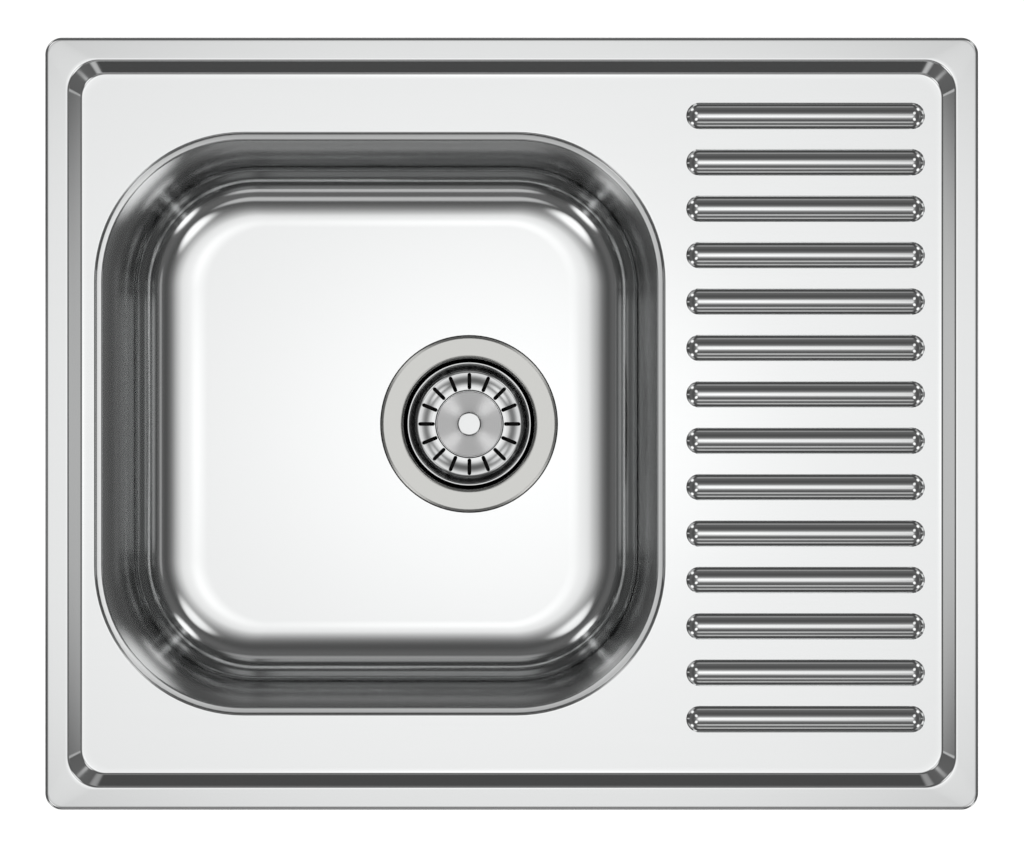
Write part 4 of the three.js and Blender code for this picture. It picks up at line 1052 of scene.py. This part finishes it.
class SINK_OT_waste(bpy.types.Operator):
    """Mould the waste body with its threads and make its seals, bolt and insert"""
    bl_idname = "sink.waste"
    bl_label = "Waste body and fastening"

    def execute(self, context):
        rubber = bpy.data.materials["moulded_rubber"]
        low, high = ends(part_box("waste_body"), MM)
        top, end = high.z, low.z
        cone = end + 32.0
        outlet = end + 20.0
        thread = []
        crest, root, pitch = 23.9, 22.7, 2.3
        level = outlet - 4.5
        while level - pitch > end + 1.2:
            thread += [(root, level, 0), (crest, level - 0.8, 0.15), (crest, level - 1.3, 0.15),
                       (root, level - 2.1, 0)]
            level -= pitch
        shell = turned("waste_shell", softened([
            (45.6, top, 0.4), (45.6, cone, 2.5), (20.0, outlet, 2.5), (20.0, end, 0.4), (22.7, end, 0.4),
            *reversed(thread), (root, outlet - 3.8, 0.4), (23.9, outlet - 3.2, 0.4),
            (24.4, outlet - 2.2, 1.0), (48.6, cone - 3.0, 3.0), (48.6, top - 4.0, 0.6),
            (54.6, top - 4.0, 0.5), (54.6, top, 0.5)], steps=3), steps=112)
        hub_top, hub_foot = CUP_BOTTOM / MM - 0.3, CUP_BOTTOM / MM - 14.3
        hub = turned("waste_hub", softened([
            (BORE, hub_top, 0.3), (8.0, hub_top, 0.5), (8.0, hub_foot, 0.5), (5.3, hub_foot, 0.2),
            (5.3, hub_foot + 8.3, 0), (BORE, hub_foot + 8.3, 0)]), steps=48)
        webs = block("waste_webs", (37.9 * MM, 3 * MM, 14 * MM),
                     (DRAIN.x + (7.7 + 18.95) * MM, DRAIN.y, hub_foot * MM))
        choose(webs, "EDGE", lambda e: abs(e.verts[0].co.z - e.verts[1].co.z) < SEAM
               and abs(e.verts[0].co.y - e.verts[1].co.y) < SEAM)
        bpy.ops.mesh.bevel(offset=0.5 * MM, segments=3, affect="EDGES")
        # The foot of each web is cut back to the cone.
        take_all()
        slope = Vector((25.6, 0, 12.0)).normalized()
        bpy.ops.mesh.bisect(plane_co=(DRAIN.x + 46.6 * MM, DRAIN.y, cone * MM - 0.4 * MM),
                            plane_no=(slope.z, 0, -slope.x), use_fill=True, clear_outer=True)
        take_all()
        repeat_round(DRAIN, 4)
        face_out(webs)
        polish(webs)
        body = join("moulded_waste_body", webs, hub, shell)
        settle(body, "sink", "white_plastic",
               plain_finish("moulded_polypropylene", context.scene.finishes.plastic, 0.42, 1500, 0.02,
                            0.00003), "waste_body")

        for name, node, box, inner, outer, inner_round, outer_round in (
                ("flange_ring", "flange_seal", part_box("flange_seal"), 45.0, 54.0, 0.2, 0.3),
                ("body_ring", "lower_seal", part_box("lower_seal"), 45.6, 52.6, 0.3, 0.5)):
            low, high = ends(box, MM)
            seal = turned(name, softened([
                (inner, low.z, inner_round), (outer, low.z, outer_round),
                (outer, high.z, outer_round), (inner, high.z, inner_round)]), steps=96)
            settle(seal, "sink", "black_rubber", rubber, node)
        low, high = ends(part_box("stem_o_ring"), MM)
        middle, section = (low.z + high.z) / 2, (high.z - low.z) / 2
        circle = [(3.1 + section + section * math.cos(t * math.pi / 8),
                   middle + section * math.sin(t * math.pi / 8), 0) for t in range(16)]
        ring = turned("stem_ring", softened(circle), steps=48)
        settle(ring, "basket_unit", "black_rubber", rubber, "stem_o_ring")

        low, high = ends(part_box("centre_bolt"), MM)
        head = high.z - 2.6
        bolt = turned("slotted_bolt", softened([
            (0, high.z, 0), (5.6, high.z - 0.5, 0.8), (5.6, head, 0.3), (3.0, head, 0),
            (3.0, low.z + 0.6, 0.2), (2.5, low.z, 0.2), (0, low.z, 0)], closes=False), steps=48)
        slot = block("bolt_slot_cutter", (14 * MM, 1.2 * MM, 3 * MM),
                     (DRAIN.x, DRAIN.y, (high.z - 1.3) * MM))
        face_out(slot)
        cut(bolt, slot)
        polish(bolt)
        settle(bolt, "sink", "polished_stainless", bpy.data.materials["polished_stainless_turned"],
               "centre_bolt")
        low, high = ends(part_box("insert_nut"), MM)
        knurls = start("insert_knurled")
        turn_profile(softened([
            (BORE, low.z, 0.2), (5.0, low.z, 0.2), (5.0, high.z, 0.2), (BORE, high.z, 0.2)]), DRAIN, 40)
        face_out(knurls)
        choose(knurls, "FACE", lambda face: abs(face.normal.z) < 0.1
               and (face.calc_center_median() - DRAIN).xy.length > 4.6 * MM)
        bpy.ops.mesh.inset(thickness=0.12 * MM, depth=0, use_individual=True)
        polish(knurls)
        settle(knurls, "sink", "brass",
               plain_finish("machined_brass", context.scene.finishes.brass, 0.3, 600, 0.08, 0.00001,
                            metallic=1.0), "insert_nut")
        return {"FINISHED"}


# ------------------------------------------------------------ rim clamps

def clamp_matrix(place, swing):
    """From a clamp drawn round its bar, with +X outwards, to its place under the rim."""
    turn = math.radians(CLAMP_TURNS[place])
    return (Matrix.Translation(clamp_pivot(place)) @ Matrix.Rotation(turn, 4, "Z")
            @ Matrix.Rotation(swing, 4, "Y"))


class SINK_OT_eyelets(bpy.types.Operator):
    """Bend one wire eyelet and weld a copy of it at each clamp"""
    bl_idname = "sink.eyelets"
    bl_label = "Eyelets"

    def execute(self, context):
        c = context.scene.clamp_sizes
        wire, bend = c.wire_radius, 2.2 * MM
        half_span = c.clip_width / 2 + 1 * MM + wire
        top = 7 * MM - 0.02 * MM
        hold()
        bpy.ops.mesh.primitive_circle_add(vertices=20, radius=wire * 1.35)
        piece = bpy.context.object
        piece.name = piece.data.name = "eyelet_pattern"
        bpy.ops.object.mode_set(mode="EDIT")
        take_all()
        bpy.ops.transform.translate(value=(0, -half_span, top))
        pull("edges", (0, 0, -0.8 * MM))
        bpy.ops.transform.resize(value=(1 / 1.35, 1 / 1.35, 1), center_override=(0, -half_span, top))
        pull("edges", (0, 0, bend - top + 0.8 * MM))
        bpy.ops.mesh.spin(steps=6, angle=math.pi / 2, center=(0, -half_span + bend, bend), axis=(-1, 0, 0))
        pull("edges", (0, half_span - bend, 0))
        take_all()
        merge_seams()
        bpy.ops.object.mode_set(mode="OBJECT")
        modify(piece, "MIRROR", use_axis=(False, True, False), use_mirror_merge=True,
               merge_threshold=0.0001)
        bpy.ops.object.mode_set(mode="EDIT")
        choose(piece, "EDGE", lambda e: e.is_boundary)
        bpy.ops.mesh.edge_face_add()
        face_out(piece)
        polish(piece, 40)
        material = satin_stainless("satin_stainless_wire")
        material.name = "drawn_stainless_wire"
        for place in CLAMP_TURNS:
            copy = place_copy(piece, f"wire_eyelet_{place}", clamp_matrix(place, 0))
            settle(copy, "sink", "brushed_stainless", material, f"eyelet_{place}")
        bpy.data.objects.remove(piece)
        return {"FINISHED"}


class SINK_OT_clips(bpy.types.Operator):
    """Bend one clip and hang a copy of it on each eyelet"""
    bl_idname = "sink.clips"
    bl_label = "Clips"

    def execute(self, context):
        c = context.scene.clamp_sizes
        leg, arm, toe = 11.0, -43.7, 3.9
        hook = c.wire_radius / MM + 0.65 + c.strip / MM / 2
        shoulder = hook + c.wire_radius / MM
        points = [(hook * math.cos(t), hook * math.sin(t))
                  for t in (math.radians(215 - 215 * i / 14) for i in range(15))]
        lower = softened([(hook, 0.0, 0), (hook, -hook, 1.2), (leg, -hook - shoulder, 1.6),
                          (leg, arm, 3.0), (SCREW_X + toe, arm, 0)], steps=6, closes=False)
        points = [(x * MM, z * MM) for x, z in points] + lower[1:]
        piece = start("clip_pattern")
        draw_line(points, centre=(0, -c.clip_width / 2, 0))
        bpy.ops.mesh.select_linked()
        pull("edges", (0, c.clip_width, 0))
        face_out(piece)
        modify(piece, "SOLIDIFY", thickness=c.strip, offset=0, use_even_offset=True)
        modify(piece, "BEVEL", width=0.25 * MM, segments=2, limit_method="ANGLE",
               angle_limit=math.radians(50))
        hole = rod("clip_hole_cutter", c.screw_radius + 0.3 * MM, (arm - 8) * MM, (arm + 4) * MM,
                   (SCREW_X * MM, 0), 24)
        cut(piece, hole)
        low = arm - 0.75 - 4.0
        boss = turned("clip_boss", softened([
            (2.8, arm - 0.7, 0), (3.9, arm - 0.7, 0), (3.9, low, 0.5), (2.8, low, 0.3)]),
            centre=Vector((SCREW_X * MM, 0, 0)), steps=32)
        polish(piece, 40)
        piece = join("clip_pattern", boss, piece)
        material = zinc_steel()
        for place in CLAMP_TURNS:
            copy = place_copy(piece, f"bent_clip_{place}", clamp_matrix(place, c.hang))
            settle(copy, f"clip_{place}_unit", "zinc_steel", material, f"clip_{place}")
        bpy.data.objects.remove(piece)
        return {"FINISHED"}


class SINK_OT_clip_screws(bpy.types.Operator):
    """Cut one screw with its thread and slotted hexagon head, and fit a copy in each clip"""
    bl_idname = "sink.clip_screws"
    bl_label = "Clip screws"

    def execute(self, context):
        c = context.scene.clamp_sizes
        axis = Vector((SCREW_X * MM, 0, 0))
        tip, head_top = -29.7, -59.7
        core = 2.05
        shank = turned("screw_core", softened([
            (0, tip, 0), (1.3, tip, 0.2), (core, tip - 2, 0), (core, head_top, 0), (0, head_top, 0)],
            closes=False), centre=axis, steps=24)
        thread = start("screw_thread")
        crest, pitch = c.screw_radius / MM, c.thread_pitch / MM
        root = core - 0.06
        draw_line([(radius * MM, share * pitch * MM) for radius, share in (
            (root, 0), (crest, 0.3), (crest, 0.4), (root, 0.7), (root, 0))],
            centre=(0, 0, (head_top + 3) * MM))
        take_all()
        merge_seams()
        hold(thread)
        turns = int((tip - 2 - head_top - 3.6) / pitch)
        modify(thread, "SCREW", axis="Z", angle=2 * math.pi, screw_offset=c.thread_pitch, iterations=turns,
               steps=20, render_steps=20, use_merge_vertices=True, merge_threshold=SEAM,
               use_smooth_shade=False, use_normal_calculate=True)
        thread.location = axis
        bpy.ops.object.transform_apply(location=True)
        bpy.ops.object.mode_set(mode="EDIT")
        choose(thread, "EDGE", lambda e: e.is_boundary)
        bpy.ops.mesh.edge_face_add()
        face_out(thread)
        polish(thread, 60)
        head = rod("screw_head", 4.0 * MM, (head_top - 3.5) * MM, head_top * MM, (axis.x, 0), 6)
        choose(head, "FACE", lambda face: face.normal.z < -0.9)
        bpy.ops.mesh.inset(thickness=0.35 * MM, depth=0.2 * MM)
        bpy.ops.mesh.inset(thickness=0.15 * MM, depth=0.0)
        polish(head, 20)
        slot = block("screw_slot_cutter", (12 * MM, 1.0 * MM, 2.8 * MM), (axis.x, 0, (head_top - 5) * MM))
        face_out(slot)
        cut(head, slot)
        polish(head, 20)
        piece = join("screw_pattern", thread, head, shank)
        material = bpy.data.materials["zinc_plated_steel"]
        for place in CLAMP_TURNS:
            copy = place_copy(piece, f"threaded_screw_{place}", clamp_matrix(place, c.hang))
            settle(copy, f"screw_{place}_unit", "zinc_steel", material, f"clip_screw_{place}")
        bpy.data.objects.remove(piece)
        return {"FINISHED"}


# ------------------------------------------------------------ stage

def four_boxes(tilt, core, edge, narrow, strengths):
    """Soft boxes on the four diagonals, at one tilt."""
    return [(45 + 90 * i, tilt, core, edge, narrow, strength) for i, strength in enumerate(strengths)]


SOFT_BOXES = (        # degrees round from +X, degrees from overhead, core, edge, width share, strength
    *four_boxes(28, 4, 13, 0.8, (1.0, 1.0, 1.2, 1.2)),
    *four_boxes(65, 4, 11, 1, (1.2, 1.1, 1.2, 1.2)),
    *four_boxes(79, 4, 12, 2.4, (0.4, 0.4, 0.4, 0.4)),
    (270, 39, 2, 7, 3, 0.5), (270, 62, 2, 6, 3, 0.5), (90, 63, 2, 7, 3, 0.25), (0, 57, 1, 4, 3, 0.25),
    (180, 75, 6, 12, 0.35, 0.55), (0, 75, 6, 12, 0.35, 0.45),
)
DOME = (              # degrees from overhead, strength
    (0, 0.95), (2, 0.82), (4, 0.70), (8, 0.65), (11, 0.45), (14, 0.32), (18, 0.2), (22, 0.13),
    (27, 0.09), (33, 0.065), (40, 0.06), (47, 0.075), (54, 0.09), (60, 0.085), (66, 0.06),
    (75, 0.045), (90, 0.05), (100, 0.4),
)
DOME_SQUEEZE = (0.87, 1.13, 1)    # the dome's light reaches further along the sink than across it
DOME_GAIN = 1.54                  # fitted to the photo's tones
BACKDROP_GLOW = 1.3               # what the camera sees of the backdrop
FLOOR_RADIUS = 30                 # metres
SHADE_REACH = 0.35                # how far off the floor notices the sink
FLOOR_LIGHT_SHARE = 0.33          # of the floor's glow, what the sink gets


def maths(tree, operation, first, second=None):
    """One step of arithmetic on values or outputs."""
    added = add_node(tree, "ShaderNodeMath", {"operation": operation})
    for socket, value in zip(added.inputs, (first, second)):
        if value is None:
            continue
        if isinstance(value, (int, float)):
            socket.default_value = value
        else:
            tree.links.new(value, socket)
    return added.outputs["Value"]


def height_on_dome(tree, direction, squeeze):
    """How far up a direction points, from -1 to 1, after it is squeezed along the axes."""
    squeezed = add_node(tree, "ShaderNodeVectorMath", {"operation": "MULTIPLY"})
    tree.links.new(direction, squeezed.inputs[0])
    squeezed.inputs[1].default_value = squeeze
    unit = add_node(tree, "ShaderNodeVectorMath", {"operation": "NORMALIZE"})
    tree.links.new(squeezed.outputs["Vector"], unit.inputs[0])
    return add_node(tree, "ShaderNodeSeparateXYZ", links={"Vector": unit.outputs["Vector"]}).outputs["Z"]


class SINK_OT_stage(bpy.types.Operator):
    """Set the camera, the pale floor and the soft studio light"""
    bl_idname = "sink.stage"
    bl_label = "Stage"

    def soft_box(self, tree, direction, around, tilt, core, edge, narrow, strength):
        """One soft box on the dome, its sides drawn in to the share that narrow gives."""
        turned_to = add_node(tree, "ShaderNodeMapping", {
            "vector_type": "POINT", "Rotation": (0, 0, -math.radians(around))}, {"Vector": direction})
        tipped = add_node(tree, "ShaderNodeMapping", {
            "vector_type": "POINT", "Rotation": (0, -math.radians(tilt), 0)},
            {"Vector": turned_to.outputs["Vector"]})
        upright = height_on_dome(tree, tipped.outputs["Vector"], (1, 1 / narrow, 1))
        return add_node(tree, "ShaderNodeMapRange", {
            "interpolation_type": "SMOOTHSTEP", "From Min": math.cos(math.radians(edge)),
            "From Max": math.cos(math.radians(core)), "To Max": strength},
            {"Value": upright}).outputs["Result"]

    def studio_light(self, scene):
        """A large soft box overhead, smaller ones round it, and a dim room."""
        world = bpy.data.worlds.new("studio_light")
        world.use_nodes = True
        scene.world = world
        tree = world.node_tree
        background = tree.nodes["Background"]
        direction = add_node(tree, "ShaderNodeTexCoord").outputs["Generated"]
        upright = height_on_dome(tree, direction, DOME_SQUEEZE)
        tilt = maths(tree, "DIVIDE", maths(tree, "ARCCOSINE", upright), math.pi)
        light = ramp(tree, tilt, [(degrees / 180, strength) for degrees, strength in DOME])
        light = maths(tree, "MULTIPLY", light, DOME_GAIN)
        for box in SOFT_BOXES:
            light = maths(tree, "ADD", light, self.soft_box(tree, direction, *box))
        seen = add_node(tree, "ShaderNodeLightPath").outputs["Is Camera Ray"]
        pale = add_node(tree, "ShaderNodeMix", {"data_type": "FLOAT"})
        pale.inputs["B"].default_value = BACKDROP_GLOW
        tree.links.new(seen, pale.inputs["Factor"])
        tree.links.new(light, pale.inputs["A"])
        tree.links.new(pale.outputs["Result"], background.inputs["Color"])
        background.inputs["Strength"].default_value = 1

    def floor(self, scene, settings):
        """A wide pale floor that glows in place of even studio light, less under the sink, and that the
        sink's outlet stands on.
        """
        hold()
        level = CAD_BOX[0][2] - settings.floor_gap
        bpy.ops.mesh.primitive_circle_add(vertices=96, radius=FLOOR_RADIUS, fill_type="NGON")
        floor = bpy.context.object
        floor.name = floor.data.name = "studio_floor"
        bpy.ops.object.mode_set(mode="EDIT")
        bpy.ops.mesh.inset(thickness=0.5, depth=0)
        take_all()
        bpy.ops.transform.translate(value=(0, 0, level))
        hold(floor)
        material, tree, shader, coordinates = new_finish("pale_studio_floor")
        # Matt painted board; a faint roll texture of about 3 mm.
        mottled(tree, shader, scene.finishes.floor, noise(tree, coordinates, 300.0), 0.004)
        # The board glows, less where the sink shades it, in place of light from all over the studio.
        # The sink itself is lit by a third of that, so that its underside keeps its tones.
        shade = add_node(tree, "ShaderNodeAmbientOcclusion", {"Distance": SHADE_REACH, "samples": 8})
        glow = add_node(tree, "ShaderNodeMapRange", {"To Min": 0.5, "To Max": 0.95},
                        {"Value": shade.outputs["AO"]})
        seen = add_node(tree, "ShaderNodeLightPath").outputs["Is Camera Ray"]
        share = add_node(tree, "ShaderNodeMapRange", {"To Min": FLOOR_LIGHT_SHARE, "To Max": 1.0},
                         {"Value": seen})
        set_shader(shader, Roughness=0.9, Specular_IOR_Level=0.1)
        shader.inputs["Emission Color"].default_value = (1, 1, 1, 1)
        tree.links.new(maths(tree, "MULTIPLY", glow.outputs["Result"], share.outputs["Result"]),
                       shader.inputs["Emission Strength"])
        # The board has only an upper face, so that the underside can be looked at.
        under = add_node(tree, "ShaderNodeNewGeometry").outputs["Backfacing"]
        mix = add_node(tree, "ShaderNodeMixShader")
        for socket, source in zip(mix.inputs, (under, shader.outputs["BSDF"], add_node(
                tree, "ShaderNodeBsdfTransparent").outputs["BSDF"])):
            tree.links.new(source, socket)
        tree.links.new(mix.outputs["Shader"], tree.nodes["Material Output"].inputs["Surface"])
        floor.data.materials.append(material)

    def camera(self, scene, settings):
        """A long lens straight above the sink, as in the photograph."""
        data = bpy.data.cameras.new("overhead_camera")
        camera = bpy.data.objects.new("overhead_camera", data)
        scene.collection.objects.link(camera)
        camera.location = (settings.camera_x, settings.camera_y, RIM_HIGH.z + settings.camera_height)
        data.sensor_width = 36
        data.lens = data.sensor_width * settings.camera_height / settings.view_width
        data.clip_end = 100
        scene.camera = camera

    def execute(self, context):
        scene = context.scene
        self.studio_light(scene)
        self.floor(scene, scene.stage_settings)
        self.camera(scene, scene.stage_settings)
        scene.view_settings.view_transform = "Standard"
        scene.view_settings.look = "None"
        return {"FINISHED"}


# ------------------------------------------------------------ panel and registration

OPERATORS = (SINK_OT_deck, SINK_OT_bowl, SINK_OT_rim_seal, SINK_OT_strainer_cup, SINK_OT_basket,
             SINK_OT_stopper, SINK_OT_waste, SINK_OT_eyelets, SINK_OT_clips, SINK_OT_clip_screws,
             SINK_OT_stage)
GROUPS = {
    "sheet_sizes": SheetSizes, "bowl_sizes": BowlSizes, "rib_sizes": RibSizes,
    "strainer_sizes": StrainerSizes, "clamp_sizes": ClampSizes, "finishes": Finishes,
    "stage_settings": StageSettings,
}


class SINK_PT_panel(bpy.types.Panel):
    """Sizes, colours and pieces of the sink"""
    bl_idname = "SINK_PT_panel"
    bl_label = "Kitchen Sink"
    bl_space_type = "VIEW_3D"
    bl_region_type = "UI"
    bl_category = "Sink"

    def draw(self, context):
        for name, group in GROUPS.items():
            box = self.layout.box()
            box.label(text=name.replace("_", " ").capitalize())
            for key in group.__annotations__:
                box.prop(getattr(context.scene, name), key, text=key.replace("_", " ").capitalize())
        for operator in OPERATORS:
            self.layout.operator(operator.bl_idname)


def register():
    for part in (*GROUPS.values(), *OPERATORS, SINK_PT_panel):
        bpy.utils.register_class(part)
    for name, group in GROUPS.items():
        setattr(bpy.types.Scene, name, bpy.props.PointerProperty(type=group))


def unregister():
    for name in GROUPS:
        delattr(bpy.types.Scene, name)
    for part in (SINK_PT_panel, *reversed(OPERATORS), *reversed(GROUPS.values())):
        bpy.utils.unregister_class(part)


def main():
    register()
    for operator in OPERATORS:
        _, name = operator.bl_idname.split(".")
        getattr(bpy.ops.sink, name)()
    hold()


if __name__ == "__main__":
    main()
